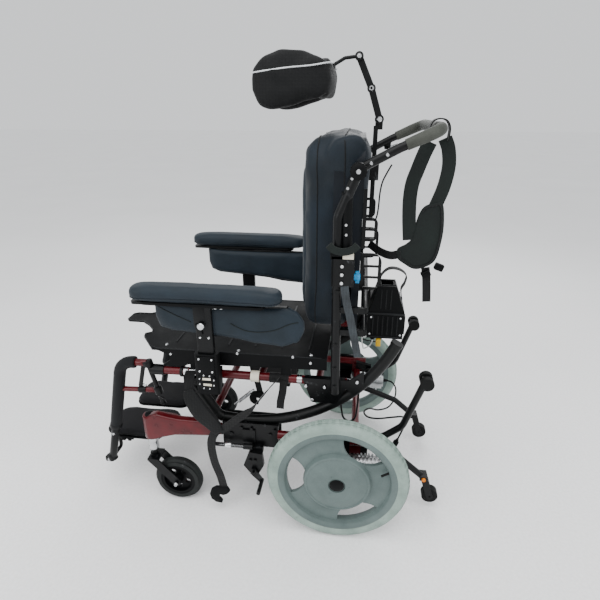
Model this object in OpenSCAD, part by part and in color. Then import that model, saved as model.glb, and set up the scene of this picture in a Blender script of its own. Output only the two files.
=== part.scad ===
// Tilt-in-space wheelchair with geared drive motors.
// +Z is up, the front of the chair faces -Y, and its left side is +X.
// Lengths along Y below are counted from the rear axle line, which place() sets in the frame.

/* [Wheels] */
// Rear wheel diameter over the tyre
rear_d = 406; // [350:1:460]
// Rear tyre width
rear_tyre_w = 40; // [32:1:44]
// Distance between the rear wheels' middle planes
rear_track = 604; // [596:1:630]
// Caster wheel diameter
caster_d = 154; // [130:1:160]
// Caster tyre width
caster_w = 36; // [28:1:38]
// Distance between the caster stems
caster_track = 444; // [436:1:450]

/* [Tilt] */
// Radius of the rocker's centreline
rocker_r = 472; // [468:1:476]
// Rocker tube diameter
rocker_tube = 32; // [30:1:33]
// Distance between the two rockers
rocker_track = 400; // [396:1:402]
// Height of the tilt centre
tilt_z = 780; // [778:1:782]

/* [Seat] */
// Height of the seat rails' centreline
rail_z = 462; // [458:1:464]

/* [Back] */
// Back cushion width
back_w = 366; // [340:1:370]
// Height of the push handle's joint
handle_z = 1049; // [1040:1:1055]

/* [Hidden] */

$fn = 48;
axle_y = 228.5;
gap = 0.4;
rear_r = rear_d / 2;
wheel_x = rear_track / 2;
caster_r = caster_d / 2;
stem_x = caster_track / 2;
stem_y = -583;
caster_y = -511;
rocker_x = rocker_track / 2;
tilt_y = -290;
tube_r = rocker_tube / 2;
rail_x = 200;
rail_r = 12.5;
base_x = 236;
base_z = 289;
base_r = 13;
seat_floor = 500;
cane_x = 232;
cane_y = -18;
cane_r = 12.5;
recline_z = 462;
spoke_open = 58;
roller_r = 18;
roller_angles = [-4, 9.5];
handle_x = 201;
handle_y = 20;
bar_y = 200;
bar_z = 1139;
hang_x = 206;
foot_z = 162;
foot_hinge_x = 152;
motor_x = 243;
tip_x = 160;
tip_pivot = [tip_x, 70, 220];
tip_end = [tip_x, 262, 114];
tip_wheel = [tip_x, 288, 50];
step_x = 192;
step_pivot = [step_x, 82, 272];
step_wheel = [step_x, 234, 480];
pad_x = 254;
arm_y = -372;

// ---------- shared shapes ----------

function unit(v) = v / norm(v);

// moves the chair so that the origin lies under the middle of its box
module place() { translate([0, axle_y, 0]) children(); }

// draws its children on the left side and their mirror image on the right
module both() {
    children();
    mirror([1, 0, 0]) children();
}

// the left part on side 1, the right part on side -1
module on_side(side) {
    if (side > 0) children();
    else mirror([1, 0, 0]) children();
}

// local X and Z along the two given directions, at the point o
module oriented(o, x, z) {
    y = cross(z, x);
    multmatrix([[x[0], y[0], z[0], o[0]], [x[1], y[1], z[1], o[1]],
        [x[2], y[2], z[2], o[2]], [0, 0, 0, 1]]) children();
}

// any direction square to v
function square_to(v) = abs(v[2]) < 0.9 ? unit(cross(v, [0, 0, 1])) : unit(cross(v, [1, 0, 0]));

// round rod between two points
module rod(a, b, r) {
    z = unit(b - a);
    oriented(a, square_to(z), z) cylinder(h = norm(b - a), r = r);
}

// round pin along X through the point p
module pin_x(p, r, w) { translate(p) rotate([0, 90, 0]) cylinder(h = w, r = r, center = true); }

// block between two corners
module block(a, b) { translate(a) cube(b - a); }

// square outline with round corners, centred
module round_rect(w, h, r) {
    square([w, h - 2 * r], center = true);
    square([w - 2 * r, h], center = true);
    for (i = [-1, 1], j = [-1, 1]) translate([i * (w / 2 - r), j * (h / 2 - r)]) circle(r);
}

// outline drawn in (y, z) and thickened along X from x0 to x1
module slab(x0, x1) {
    translate([x0, 0, 0]) multmatrix([[0, 0, 1, 0], [1, 0, 0, 0], [0, 1, 0, 0], [0, 0, 0, 1]])
        linear_extrude(x1 - x0) children();
}

// turns a shape drawn about Z into one about X, its top facing +X, centred on p
module about_x(p) { translate(p) rotate([0, 90, 0]) children(); }

// points of the arc of radius bend that rounds the corner at b between a and c
function round_corner(a, b, c, bend, n) =
    let (d = unit(b - a), e = unit(c - b), turn = acos(min(1, d * e)),
        trim = bend * tan(turn / 2), inward = unit(cross(cross(d, e), d)),
        centre = b - d * trim + inward * bend)
    [for (i = [0 : n]) centre + bend * (sin(turn * i / n) * d - cos(turn * i / n) * inward)];

// bent round tube through the points p, each inner corner an arc of radius bend in n steps
module bent_tube(p, r, bend, n = 4) {
    last = len(p) - 1;
    q = concat([p[0]], [for (i = [1 : last - 1]) each round_corner(p[i - 1], p[i], p[i + 1], bend, n)],
        [p[last]]);
    for (i = [0 : len(q) - 2]) rod(q[i], q[i + 1], r);
    for (i = [1 : len(q) - 2]) translate(q[i]) sphere(r + 0.05);
}

// point on the rocker's circle of radius r, a degrees behind the lowest point
function on_arc(r, a, x) = [x, tilt_y + r * sin(a), tilt_z - r * cos(a)];

// straight stretch of a swept cord, ring i of tube path p
function ring(p, i, r, n) =
    let (d = i == 0 ? p[1] - p[0] : i == len(p) - 1 ? p[i] - p[i - 1] : p[i + 1] - p[i - 1],
        z = unit(d), x = square_to(z), y = cross(z, x))
    [for (k = [0 : n - 1]) p[i] + r * cos(360 * k / n) * x + r * sin(360 * k / n) * y];

// points of a smooth curve through the route q, s steps to each stretch
function route_at(q, i) = q[max(0, min(len(q) - 1, i))];
function smooth(q, s) = [for (i = [0 : len(q) - 2], k = [0 : s - 1])
        let (t = k / s, a = route_at(q, i - 1), b = q[i], c = q[i + 1], e = route_at(q, i + 2))
        0.5 * (2 * b + (c - a) * t + (2 * a - 5 * b + 4 * c - e) * t * t
            + (3 * b - a - 3 * c + e) * t * t * t), q[len(q) - 1]];

// one closed tube along the points p
module cord(p, r, n) {
    rings = len(p);
    polyhedron(
        points = [for (i = [0 : rings - 1]) each ring(p, i, r, n)],
        faces = concat(
            [[for (k = [n - 1 : -1 : 0]) n - 1 - k]],
            [[for (k = [0 : n - 1]) (rings - 1) * n + n - 1 - k]],
            [for (i = [0 : rings - 2], k = [0 : n - 1])
                [i * n + k, (i + 1) * n + k, (i + 1) * n + (k + 1) % n, i * n + (k + 1) % n]]));
}

// ---------- wheeled base ----------

base_rail_y = [-181, 75];
cross_y = 44;
cross_z = 258;

module base_frame() color("firebrick") {
    both() {
        rod([base_x, base_rail_y[0], base_z], [base_x, base_rail_y[1], base_z], base_r);
        block([base_x - 8, cross_y - 18, cross_z - 12], [base_x + 2, cross_y + 18, base_z]);
    }
    rod([-base_x + 4, cross_y, cross_z], [base_x - 4, cross_y, cross_z], 12);
}

front_cross = [-402, 272];

// cast arms that carry the caster stems, tied by the front cross tube
module caster_arms() color("firebrick") {
    difference() {
        both() {
            slab(stem_x - 4.5, stem_x + 22) polygon([[-352, 302], [-392, 315], [-420, 317],
                [-480, 317], [-520, 322], [-556, 328], [-583, 314], [-583, 236], [-566, 235],
                [-544, 245], [-500, 259], [-430, 265], [-385, 268], [-352, 276]]);
            slab(stem_x - 22, stem_x) polygon([[-500, 308], [-520, 311], [-556, 314], [-583, 308],
                [-583, 236], [-566, 235], [-544, 245], [-500, 259]]);
            translate([stem_x, stem_y, 234]) cylinder(h = 78, r = 22);
            translate([stem_x, stem_y, 311]) cylinder(h = 7, r1 = 20, r2 = 14);
        }
        both() translate([stem_x, stem_y, 200]) cylinder(h = 110, r = 10.05);
    }
    rod([-stem_x + 20, front_cross[0], front_cross[1] + 18],
        [stem_x - 20, front_cross[0], front_cross[1] + 18], 12);
}

housing_y = [-351, -182];
housing_z = [236, 316];
plate_out = [223, 231];
plate_in = [169, 177];

// side plates that hold the roller shafts on each side of the rocker
module roller_housings() color("#1a1a1c") both() {
    difference() {
        union() {
            for (x = [plate_out, plate_in])
                block([x[0], housing_y[0], housing_z[0]], [x[1], housing_y[1], housing_z[1]]);
            block([plate_in[1], housing_y[0], housing_z[0]], [plate_out[0], housing_y[1], housing_z[0] + 7]);
            block([plate_out[1], housing_y[0] + 62, 252], [plate_out[1] + 5, housing_y[0] + 100, 296]);
            for (y = [-337, -292, -262, -192]) pin_x([plate_out[1] + 2, y, 300], 4.5, 6);
        }
        for (a = roller_angles) pin_x(on_arc(rocker_r + tube_r + 0.3 + roller_r, a, 200), 5.05, 70);
    }
    for (a = roller_angles) {
        p = on_arc(rocker_r + tube_r + 0.3 + roller_r, a, 232);
        pin_x(p, 7, 5);
    }
}

// grooved rollers that the rockers ride on, one pair on each shaft
module roller_pair(a) {
    p = on_arc(rocker_r + tube_r + 0.3 + roller_r, a, 0);
    both() about_x([rocker_x, p[1], p[2]]) {
        rotate_extrude() difference() {
            translate([0, -19]) square([roller_r + 4, 38]);
            translate([roller_r + tube_r + 0.3, 0]) circle(tube_r + 0.3);
        }
        translate([0, 0, -27]) cylinder(h = 54, r = 5);
    }
}
module front_rollers() color("#2a2a2c") roller_pair(roller_angles[0]);
module rear_rollers() color("#2a2a2c") roller_pair(roller_angles[1]);

// gearbox, axle and the plate that hangs them from the side tube
module axle_mounts() color("#1a1a1c") both() {
    block([base_x - 44, -38, 168], [base_x + 36, 22, 240]);
    difference() {
        block([base_x + 6, -30, 240], [base_x + 16, 30, base_z + 18]);
        rod([base_x, -60, base_z], [base_x, 80, base_z], base_r + gap);
    }
    slab(184, 192) polygon([[-20, 180], [22, 180], [84, 204], [84, 236], [-20, 236]]);
    pin_x([168, tip_pivot[1], tip_pivot[2]], 4, 48);
    slab(207, 222) polygon([[40, 270.5], [58, 270.5], [64, 258], [96, 258], [96, 286], [40, 300]]);
    pin_x([200, step_pivot[1], step_pivot[2]], 4, 44);
    about_x([0, 0, rear_r]) translate([0, 0, base_x + 36]) {
        cylinder(h = 10, r = 21);
        cylinder(h = wheel_x + 14 - base_x - 36, r = 8);
    }
}

// finned motors lying fore and aft behind the gearboxes
module drive_motors() color("silver") both() {
    translate([motor_x, 22 + gap, 206]) rotate([-90, 0, 0]) {
        cylinder(h = 118, r = 32);
        for (i = [0 : 8]) translate([0, 0, 8 + 11 * i]) cylinder(h = 5, r = 38);
        translate([0, 0, 118]) cylinder(h = 6, r = 24);
    }
}

lock_pivot = [262, -252, 172];

// wheel lock body, its silver operating rod and collar
module wheel_lock_mounts() color("#1a1a1c") both() {
    difference() {
        slab(248, 262) polygon([[-266, 236], [-226, 232], [-222, 190], [-240, 156], [-266, 160], [-284, 186]]);
        pin_x(lock_pivot, 4.05, 60);
    }
    block([232, -262, 226], [248, -226, 246]);
    rod([250, -378, 247], [250, -284, 247], 6);
    rod([250, -284, 247], [250, -256, 247], 9);
    for (y = [-262, -248]) pin_x([264, y, 208], 5, 6);
}

// shoe lever that swings onto the tyre
module lock_lever(side) color("#252527") on_side(side) {
    pin_x([lock_pivot[0] + 2, lock_pivot[1], lock_pivot[2]], 4, 30);
    slab(263, 271) polygon([[-262, 164], [-232, 132], [-222, 138], [-240, 166], [-246, 182], [-258, 182]]);
    pin_x([292, -228, 139], 6, 58);
}
module lock_lever_left() lock_lever(1);
module lock_lever_right() lock_lever(-1);

// ---------- rear wheels ----------

// moulded wheel: rim, dished disc with three lens-shaped openings, domed hub
module wheel(side) color("#aeb6b8") on_side(side) about_x([wheel_x, 0, rear_r]) rotate([0, 0, 90 + spoke_open]) {
    difference() {
        rotate_extrude($fn = 96) polygon([[8.05, -14], [40, -14], [44, -4], [92, -2], [146, -6],
            [150, -16], [172, -17], [168, -10], [168, 10], [172, 17], [152, 16], [148, 6],
            [96, 8], [88, 20], [60, 25], [24, 26], [24, 20], [8.05, 20]]);
        for (a = [0, 120, 240]) rotate([0, 0, a]) translate([0, 0, -30]) linear_extrude(70)
            intersection() {
                circle(145, $fn = 96);
                translate([158, 0]) circle(70, $fn = 96);
            }
    }
    translate([0, 0, 20]) cylinder(h = 5, r = 22);
}
module wheel_left() wheel(1);
module wheel_right() wheel(-1);

module tyre(side) color("#9fa8a6") on_side(side) about_x([wheel_x, 0, rear_r]) difference() {
    rotate_extrude($fn = 96) translate([rear_r - rear_tyre_w / 2, 0]) circle(rear_tyre_w / 2);
    rotate_extrude($fn = 96) translate([100, -30])
        polygon([[0, 0], [72.3, 0], [72.3, 13], [68.3, 20], [68.3, 40], [72.3, 47], [72.3, 60], [0, 60]]);
}
module tyre_left() tyre(1);
module tyre_right() tyre(-1);

// ---------- casters ----------

module fork(side) color("#1c1c1e") on_side(side) {
    translate([stem_x, stem_y, 160]) cylinder(h = 146, r = 10);
    translate([stem_x, stem_y, 160]) cylinder(h = 10, r = 15);
    translate([stem_x, stem_y, 184]) cylinder(h = 49, r = 14);
    block([stem_x - 27, stem_y - 16, 155.5], [stem_x + 27, stem_y + 20, 162.5]);
    for (s = [-1, 1]) difference() {
        slab(stem_x + s * 24 - 3, stem_x + s * 24 + 3) polygon([[stem_y - 16, 157],
            [stem_y + 22, 157], [caster_y + 12, 88], [caster_y + 10, 68], [caster_y - 8, 64], [caster_y - 16, 76]]);
        pin_x([stem_x, caster_y, caster_r], 5.05, 70);
    }
}
module fork_left() fork(1);
module fork_right() fork(-1);

module caster_hub(side) color("#202022") on_side(side) about_x([stem_x, caster_y, caster_r]) {
    difference() {
        rotate_extrude($fn = 64) polygon([[0, -19], [14, -19], [16, -5], [44, -5], [46, -15], [56, -15],
            [56, 15], [46, 15], [44, 5], [16, 5], [14, 19], [0, 19]]);
        for (a = [0 : 72 : 359]) rotate([0, 0, a]) translate([30, 0, -10]) cylinder(h = 20, r = 9);
    }
    translate([0, 0, -31]) cylinder(h = 62, r = 5);
    for (z = [-34.5, 30.5]) translate([0, 0, z]) cylinder(h = 4, r = 7);
}
module caster_hub_left() caster_hub(1);
module caster_hub_right() caster_hub(-1);

module caster_tyre(side) color("#4a4a4c") on_side(side) about_x([stem_x, caster_y, caster_r]) difference() {
    rotate_extrude($fn = 64) union() {
        translate([caster_r - 12, 0]) circle(12);
        translate([caster_r - 12, -6]) square([12, 12]);
        translate([56.2, -16]) square([caster_r - 12 - 56.2 + 4, 32]);
    }
    translate([0, 0, -40]) cylinder(h = 80, r = 56.2);
}
module caster_tyre_left() caster_tyre(1);
module caster_tyre_right() caster_tyre(-1);

// ---------- rear anti-tippers and step arms ----------

module button_hole() { translate([tip_x + 4, 263, 118]) rotate([0, 90, 0]) cylinder(h = 20, r = 6.3); }

module anti_tip(side) color("#161618") on_side(side) {
    difference() {
        bent_tube([tip_pivot, [tip_x, 190, 176], tip_end], 10, 40);
        pin_x(tip_pivot, 4.05, 40);
        button_hole();
    }
    difference() {
        union() {
            block([tip_x - 13, 252, 108], [tip_x + 13, 274, 126]);
            for (s = [-1, 1]) slab(tip_x + s * 15 - 2, tip_x + s * 15 + 2)
                polygon([[252, 126], [274, 126], [298, 48], [293, 40], [281, 40], [276, 50]]);
        }
        pin_x(tip_wheel, 3.05, 60);
        button_hole();
    }
}
module anti_tip_left() anti_tip(1);
module anti_tip_right() anti_tip(-1);

module anti_tip_wheel(side) color("#1c1c1e") on_side(side) about_x(tip_wheel) {
    translate([0, 0, -12]) cylinder(h = 24, r = 25);
    translate([0, 0, -19]) cylinder(h = 38, r = 3);
}
module anti_tip_wheel_left() anti_tip_wheel(1);
module anti_tip_wheel_right() anti_tip_wheel(-1);

// snap button that frees the fork, 4 mm of travel
module release_button(side) color("darkorange") on_side(side)
    translate([tip_x + 9, 263, 118]) rotate([0, 90, 0]) cylinder(h = 13, r = 6);
module release_button_left() release_button(1);
module release_button_right() release_button(-1);

module step_arm(side) color("#161618") on_side(side) difference() {
    union() {
        bent_tube([step_pivot, [step_x, 128, 280], [step_x, 180, 322], [step_x, 226, 462]], 10, 40);
        block([step_x - 7, 222, 456], [step_x + 7, 244, 492]);
    }
    pin_x(step_pivot, 4.05, 60);
    pin_x(step_wheel, 4.05, 60);
}
module step_arm_left() step_arm(1);
module step_arm_right() step_arm(-1);

module step_wheels(side) color("#1c1c1e") on_side(side) about_x(step_wheel) {
    for (z = [-24, 8]) translate([0, 0, z]) cylinder(h = 16, r = 19);
    translate([0, 0, -24]) cylinder(h = 48, r = 4);
}
module step_wheels_left() step_wheels(1);
module step_wheels_right() step_wheels(-1);

// ---------- tilting seat frame ----------

arc_start = -6;
arc_end = 66;
corner = on_arc(rocker_r, arc_start, rocker_x) + 30 * [0, -cos(arc_start), -sin(arc_start)];
riser_top = corner + 138 * unit([0, -0.522, 0.853]);

// bent tubes that roll on the housings' rollers and carry the seat rails
module rockers() color("#232325") both() {
    translate([rocker_x, tilt_y, tilt_z]) rotate([0, 90, 0]) rotate([0, 0, arc_start])
        rotate_extrude(angle = arc_end - arc_start, $fn = 96) translate([rocker_r, 0]) circle(tube_r);
    translate(on_arc(rocker_r, arc_start, rocker_x)) sphere(tube_r + 0.05);
    bent_tube([on_arc(rocker_r, arc_start, rocker_x), corner, riser_top], tube_r, 40);
    block([rocker_x - 15, riser_top[1] - 24, riser_top[2] - 6],
        [rocker_x + 15, riser_top[1] + 26, rail_z - rail_r - gap]);
    rod(on_arc(rocker_r, arc_end, rocker_x), on_arc(rocker_r, arc_end + 1.2, rocker_x), tube_r + 1.5);
}

rail_y = [-548, 14];
seat_cross_y = [-486, -236, -66];

// red seat rails tied by three cross tubes
module seat_frame() color("firebrick") {
    both() rod([rail_x, rail_y[0], rail_z], [rail_x, rail_y[1], rail_z], rail_r);
    for (y = seat_cross_y) rod([-rail_x, y, rail_z], [rail_x, y, rail_z], 10.5);
}

hinge_top = [hang_x, -577, 494];
hinge_low = [hang_x, -542, 350];
hinge_dir = unit(hinge_low - hinge_top);

// gussets, rail sleeves and the posts that the hangers swing on
module seat_brackets() color("#141416") both() {
    difference() {
        union() {
            rod([rail_x, -568, rail_z], [rail_x, -526, rail_z], 16);
            rod([rail_x, -475, rail_z], [rail_x, -467, rail_z], 17);
            rod([rail_x, -262, rail_z], [rail_x, -238, rail_z], 16);
            slab(213, 218) polygon([[-112, 478], [20, 478], [60, 512], [62, 456], [34, 432],
                [12, 452], [-14, 400], [-84, 400]]);
            block([rail_x, -106, 474], [218, 8, 478]);
            rod(hinge_top, hinge_low, 7);
            rod(hinge_low, hinge_low + 5 * hinge_dir, 9);
        }
        rod([rail_x, -560, rail_z], [rail_x, 40, rail_z], rail_r + 0.2);
        for (y = seat_cross_y) rod([0, y, rail_z], [rail_x, y, rail_z], 10.7);
        translate([rocker_x, tilt_y, tilt_z]) rotate([0, 90, 0])
            rotate_extrude($fn = 180) translate([rocker_r, 0]) circle(tube_r + 0.3);
    }
    for (p = [[-101, 455], [-48, 455], [-83, 410], [42, 478]]) pin_x([220, p[0], p[1]], 5, 5);
}

pan_w = 206;

deck_z = [530, 537];
deck_half = [[pan_w, -44], [pan_w, -556], [134, -613], [116, -617], [108, -597], [89, -603],
    [54, -632], [29, -664], [29, -712], [20, -722]];
deck = concat(deck_half, [for (i = [len(deck_half) - 1 : -1 : 0]) [-deck_half[i][0], deck_half[i][1]]]);

// flat deck with thigh cut-outs and a front tongue, and the skirts and saddles under it
module seat_pan() color("#161719") {
    translate([0, 0, deck_z[0]]) linear_extrude(deck_z[1] - deck_z[0]) polygon(deck);
    both() slab(pan_w - 5, pan_w) polygon([[-44, deck_z[1]], [-556, deck_z[1]], [-504, 516],
        [-504, 500], [-530, 480], [-480, 478], [-440, 492], [-44, 500]]);
    for (y = [-500, -60]) block([-pan_w, y - 3, 505], [pan_w, y + 3, deck_z[0] + 1]);
    both() for (y = [-430, -160])
        block([rail_x - 8, y - 14, rail_z + rail_r + gap], [rail_x + 6, y + 14, deck_z[0] + 1]);
}

receiver_z = [436, 562];

// sockets that the armrest posts slide in
module arm_receivers() color("#141416") both() {
    difference() {
        union() {
            translate([pad_x + 1, arm_y, receiver_z[0]]) linear_extrude(receiver_z[1] - receiver_z[0])
                round_rect(32, 66, 8);
            block([213, arm_y - 26, receiver_z[0] + 6], [246, arm_y + 26, receiver_z[0] + 50]);
            block([rail_x - 6, arm_y - 22, rail_z + rail_r], [246, arm_y + 22, rail_z + rail_r + 11]);
        }
        rod([rail_x, -500, rail_z], [rail_x, -200, rail_z], rail_r + 0.2);
        translate([pad_x + 1, arm_y, 400]) linear_extrude(200) round_rect(18.6, 46.6, 4.3);
    }
    for (z = [454, 470, 516, 540]) pin_x([272, arm_y + (z > 500 ? 14 : -14), z], 4.5, 4);
}

// straps and padded hip belt hanging loose at each side
module strap(a, b, w, t) {
    z = unit(b - a);
    x = unit(cross(z, [1, 0, 0.001]));
    oriented(a, x, z) translate([-w / 2, -t / 2, 0]) cube([w, t, norm(b - a)]);
}
module positioning_belt() color("#3c3d40") both() {
    strap([216, -440, 472], [262, -424, 412], 30, 3);
    strap([266, -418, 418], [266, -352, 306], 38, 9);
    strap([266, -356, 312], [266, -376, 240], 24, 3);
    strap([266, -376, 242], [266, -352, 100], 26, 3);
    strap([266, -352, 102], [266, -334, 62], 30, 8);
    strap([266, -384, 96], [266, -374, 34], 34, 6);
    block([263, -378, 92], [269, -350, 98]);
    strap([221, -176, 478], [262, -262, 376], 24, 3);
    strap([262, -262, 378], [266, -352, 308], 24, 3);
}

// ---------- armrests ----------

right_arm_lift = 12;
module lifted(side) { translate([0, 0, side > 0 ? 0 : right_arm_lift]) children(); }

// post, pad plate and side guard; the right one stands a little higher in its socket
module armrest(side) color("#17181b") on_side(side) lifted(side) {
    translate([pad_x + 1, arm_y, 440]) linear_extrude(264) round_rect(18, 46, 4);
    translate([pad_x, -405, 704]) linear_extrude(7) round_rect(46, 320, 12);
    slab(231, 243) polygon([[-511, 702], [-511, 655], [-502, 629], [-474, 617], [-401, 611], [-294, 602],
        [-241, 592], [-161, 586], [-119, 602], [-104, 637], [-105, 659], [-122, 684], [-150, 702]]);
    block([243, arm_y - 20, 640], [248, arm_y + 20, 704]);
    pin_x([267, arm_y - 4, 648], 8, 8);
}
module armrest_left() armrest(1);
module armrest_right() armrest(-1);

module arm_pad(side) color("#2c3440") on_side(side) lifted(side)
    translate([pad_x, -364, 711 + gap]) linear_extrude(46) round_rect(80, 422, 30);
module arm_pad_left() arm_pad(1);
module arm_pad_right() arm_pad(-1);

// ---------- hangers and footplates ----------

function on_post(z) = hinge_top + hinge_dir * ((hinge_top[2] - z) / -hinge_dir[2]);
knee = [hang_x, -660, 484];
foam_end = [hang_x, -710, 252];
tube_end = [hang_x, -742, 118];

// swing-away hanger: foam-covered tube, hinge sleeves and the bar under the footplate
module hanger(side) color("#3a3c40") on_side(side) {
    difference() {
        union() {
            rod(on_post(478.5), on_post(492), 15);
            rod(on_post(485), [hang_x, -612, 485], 11);
            rod(on_post(404), on_post(382), 12);
            rod(on_post(393), [hang_x, -676, 388], 8);
            rod([hang_x, -614, 391], [hang_x, -592, 392], 11);
        }
        rod(hinge_top - 10 * hinge_dir, hinge_low, 7.4);
    }
    bent_tube([[hang_x, -605, 485], knee, foam_end], 18, 46);
    rod(foam_end - [0, -2, -14], tube_end, 12.5);
    rod([hang_x, -740, 122], [foot_hinge_x, -740, 122], 6);
    translate([foot_hinge_x, -740, 122]) sphere(6.05);
    rod([foot_hinge_x, -740, 122], [foot_hinge_x, -740, foot_z - 6], 6);
    rod([foot_hinge_x, -747, foot_z - 6], [foot_hinge_x, -692, foot_z - 6], 5);
    block([hang_x - 9, -766, 104], [hang_x + 9, -738, 124]);
}
module hanger_left() hanger(1);
module hanger_right() hanger(-1);

// corner cut away round the hanger's post, so that the swinging footplate clears the caster stem
module caster_clearance() { translate([hang_x, -493, 100]) cylinder(h = 200, r = 112, $fn = 96); }

// plate with two hinge lugs, and the padded cover on it
module footplate(side) color("#39393d") on_side(side) {
    difference() {
        union() {
            translate([91, -664, foot_z + 4]) linear_extrude(5) round_rect(150, 204, 34);
            for (y = [-730, -710]) block([foot_hinge_x - 8, y, foot_z - 13], [foot_hinge_x + 8, y + 12, foot_z + 4]);
        }
        rod([foot_hinge_x, -780, foot_z - 6], [foot_hinge_x, -560, foot_z - 6], 5.05);
        caster_clearance();
    }
    difference() {
        translate([91, -664, foot_z + 9.2]) linear_extrude(20) round_rect(158, 212, 38);
        caster_clearance();
    }
}
module footplate_left() footplate(1);
module footplate_right() footplate(-1);

// ---------- back ----------

cane_top = [cane_x, 20, 1049];

// side canes with their joint discs, tied behind the shell
module back_canes() color("#141416") {
    both() {
        bent_tube([[cane_x, cane_y, 446], [cane_x, cane_y - 6, 940], cane_top], cane_r, 60);
        pin_x([cane_x - 2, handle_y, handle_z], 19, 30);
        for (z = [473, 530, 601, 752]) pin_x([cane_x + 13.5, cane_y - 2, z], 6, 4);
    }
    for (z = [636, 700]) {
        rod([-cane_x, 52, z], [cane_x, 52, z], 9);
        both() block([cane_x - 6, cane_y, z - 8], [cane_x + 6, 52, z + 8]);
    }
}

shell_y = [14, 34];

// moulded shell with side wings that the cushion sits in
module back_shell() color("#1d2026") {
    translate([0, shell_y[1], 856]) rotate([90, 0, 0])
        linear_extrude(shell_y[1] - shell_y[0]) round_rect(back_w - 10, 524, 60);
    both() block([back_w / 2 - 13, -40, 760], [back_w / 2 - 5, shell_y[0] + 6, 1040]);
}

module back_cushion() color("#27303c") difference() {
    translate([0, 13, 858]) rotate([90, 0, 0]) linear_extrude(127) round_rect(back_w, 536, 60);
    both() block([back_w / 2 - 13.5, -41, 759], [back_w / 2 - 4, 20, 1041]);
}

// D-shaped slotted bracket in the (y, z) plane
module d_bracket(x, z0, z1, depth, slots) {
    h = z1 - z0;
    difference() {
        slab(x - 2, x + 2) {
            translate([34.5, z0]) square([depth - h / 4, h]);
            translate([34.5 + depth - h / 4, z0 + h / 4]) circle(h / 4);
            translate([34.5 + depth - h / 4, z1 - h / 4]) circle(h / 4);
            translate([34.5 + depth - h / 4, z0 + h / 4]) square([h / 4, h / 2]);
        }
        for (i = [0 : slots - 1]) slab(x - 5, x + 5)
            translate([44, z0 + 8 + (h - 10) * i / slots]) square([depth - 18, (h - 10) / slots - 6]);
    }
}

// cane clamps, slotted brackets, track strips and the headrest mount
module back_hardware() color("#101012") {
    both() {
        difference() {
            block([184, -36, 768], [cane_x + 15, 14, 846]);
            rod([cane_x, cane_y, 446], [cane_x, cane_y - 6, 940], cane_r + 0.3);
        }
        for (z = [778, 800, 822]) pin_x([cane_x + 17, -10, z], 5, 4);
        difference() {
            block([cane_x - 22, 14, 768], [cane_x + 15, 20, 846]);
            rod([cane_x - 8, 0, 788], [cane_x - 8, 40, 788], 3.05);
        }
        d_bracket(150, 862, 924, 40, 2);
        d_bracket(150, 728, 830, 56, 3);
        block([176, shell_y[1] + 0.5, 850], [184, shell_y[1] + 10, 1000]);
    }
    difference() {
        block([-22, shell_y[1] + 0.5, 1000], [22, 72, 1052]);
        block([-8.3, 51.7, 900], [8.3, 64.3, 1100]);
    }
}

// electronics and battery case: a low housing with a tapered tower that has an open pocket on top
module battery_box() color("#17181a") {
    difference() {
        union() {
            slab(28, 92) polygon([[90, 718], [140, 718], [168, 638], [168, 554], [64, 554], [64, 633]]);
            slab(-92, 30) polygon([[72, 646], [156, 646], [168, 632], [168, 554], [64, 554], [64, 632]]);
        }
        block([38, 98, 676], [82, 132, 740]);
    }
    block([-80, 167, 566], [80, 173, 622]);
    for (x = [-60, 20]) rod([x, 84, 556], [x, 84, 519], 8);
    rod([-20, 120, 556], [-20, 120, 525], 9);
}

knob_at = [cane_x - 8, 20, 788];

// turning latch of the back release
module latch_knob() color("#1f8fc0") {
    rod(knob_at - [0, 5, 0], knob_at + [0, 1, 0], 3);
    rod(knob_at + [0, gap, 0], knob_at + [0, 16, 0], 9);
    block(knob_at + [-4, 4, -15], knob_at + [4, 14, 15]);
}

// ---------- headrest ----------

pivot_low = [0, 66, 1156];
pivot_mid = [0, 41, 1231];
pivot_top = [0, 6, 1306];

module headrest_bar() color("#1a1a1c") difference() {
    union() {
        block([-8, 52, 890], [8, 64, 1140]);
        block([-8, 56, 1130], [-0.2, 76, 1156]);
        pin_x([-4.1, 66, 1156], 12, 7.8);
    }
    pin_x(pivot_low, 4.05, 40);
}

// flat link between two pivots, its pin at b
module link(a, b, x0, x1) {
    difference() {
        union() {
            pin_x([(x0 + x1) / 2, a[1], a[2]], 11, x1 - x0);
            pin_x([(x0 + x1) / 2, b[1], b[2]], 11, x1 - x0);
            slab(x0, x1) polygon([[a[1] - 8, a[2] - 3], [a[1] + 8, a[2] + 3], [b[1] + 8, b[2] + 3], [b[1] - 8, b[2] - 3]]);
        }
        pin_x(b, 4.05, 40);
    }
    pin_x(a, 4, 22);
    pin_x([x1 > 0 ? x1 + 1.5 : x0 - 1.5, a[1], a[2]], 7, 3);
}
module headrest_link_lower() color("#1a1a1c") link(pivot_low, pivot_mid, 0.2, 8);
module headrest_link_upper() color("#1a1a1c") link(pivot_mid, pivot_top, -8, -0.2);

// curved pad with side wings, on its own stalk
module headrest_pad() color("#1c1d20") {
    pin_x([4.1, pivot_top[1], pivot_top[2]], 11, 7.8);
    rod([4, 0, 1306], [4, -30, 1302], 3.7);
    translate([4, -30, 1302]) sphere(3.75);
    rod([4, -30, 1302], [4, -62, 1284], 3.7);
    pin_x(pivot_top, 4, 20);
    difference() {
        translate([0, -54, 1243]) rotate([90, 0, 0]) linear_extrude(206) round_rect(258, 132, 44);
        translate([-74, -300, 1150]) cube([148, 196, 200]);
    }
}

// ---------- push handle ----------

handle_bend = [handle_x, 112, 1098];
handle_end = [handle_x, bar_y + 4, bar_z];

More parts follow.
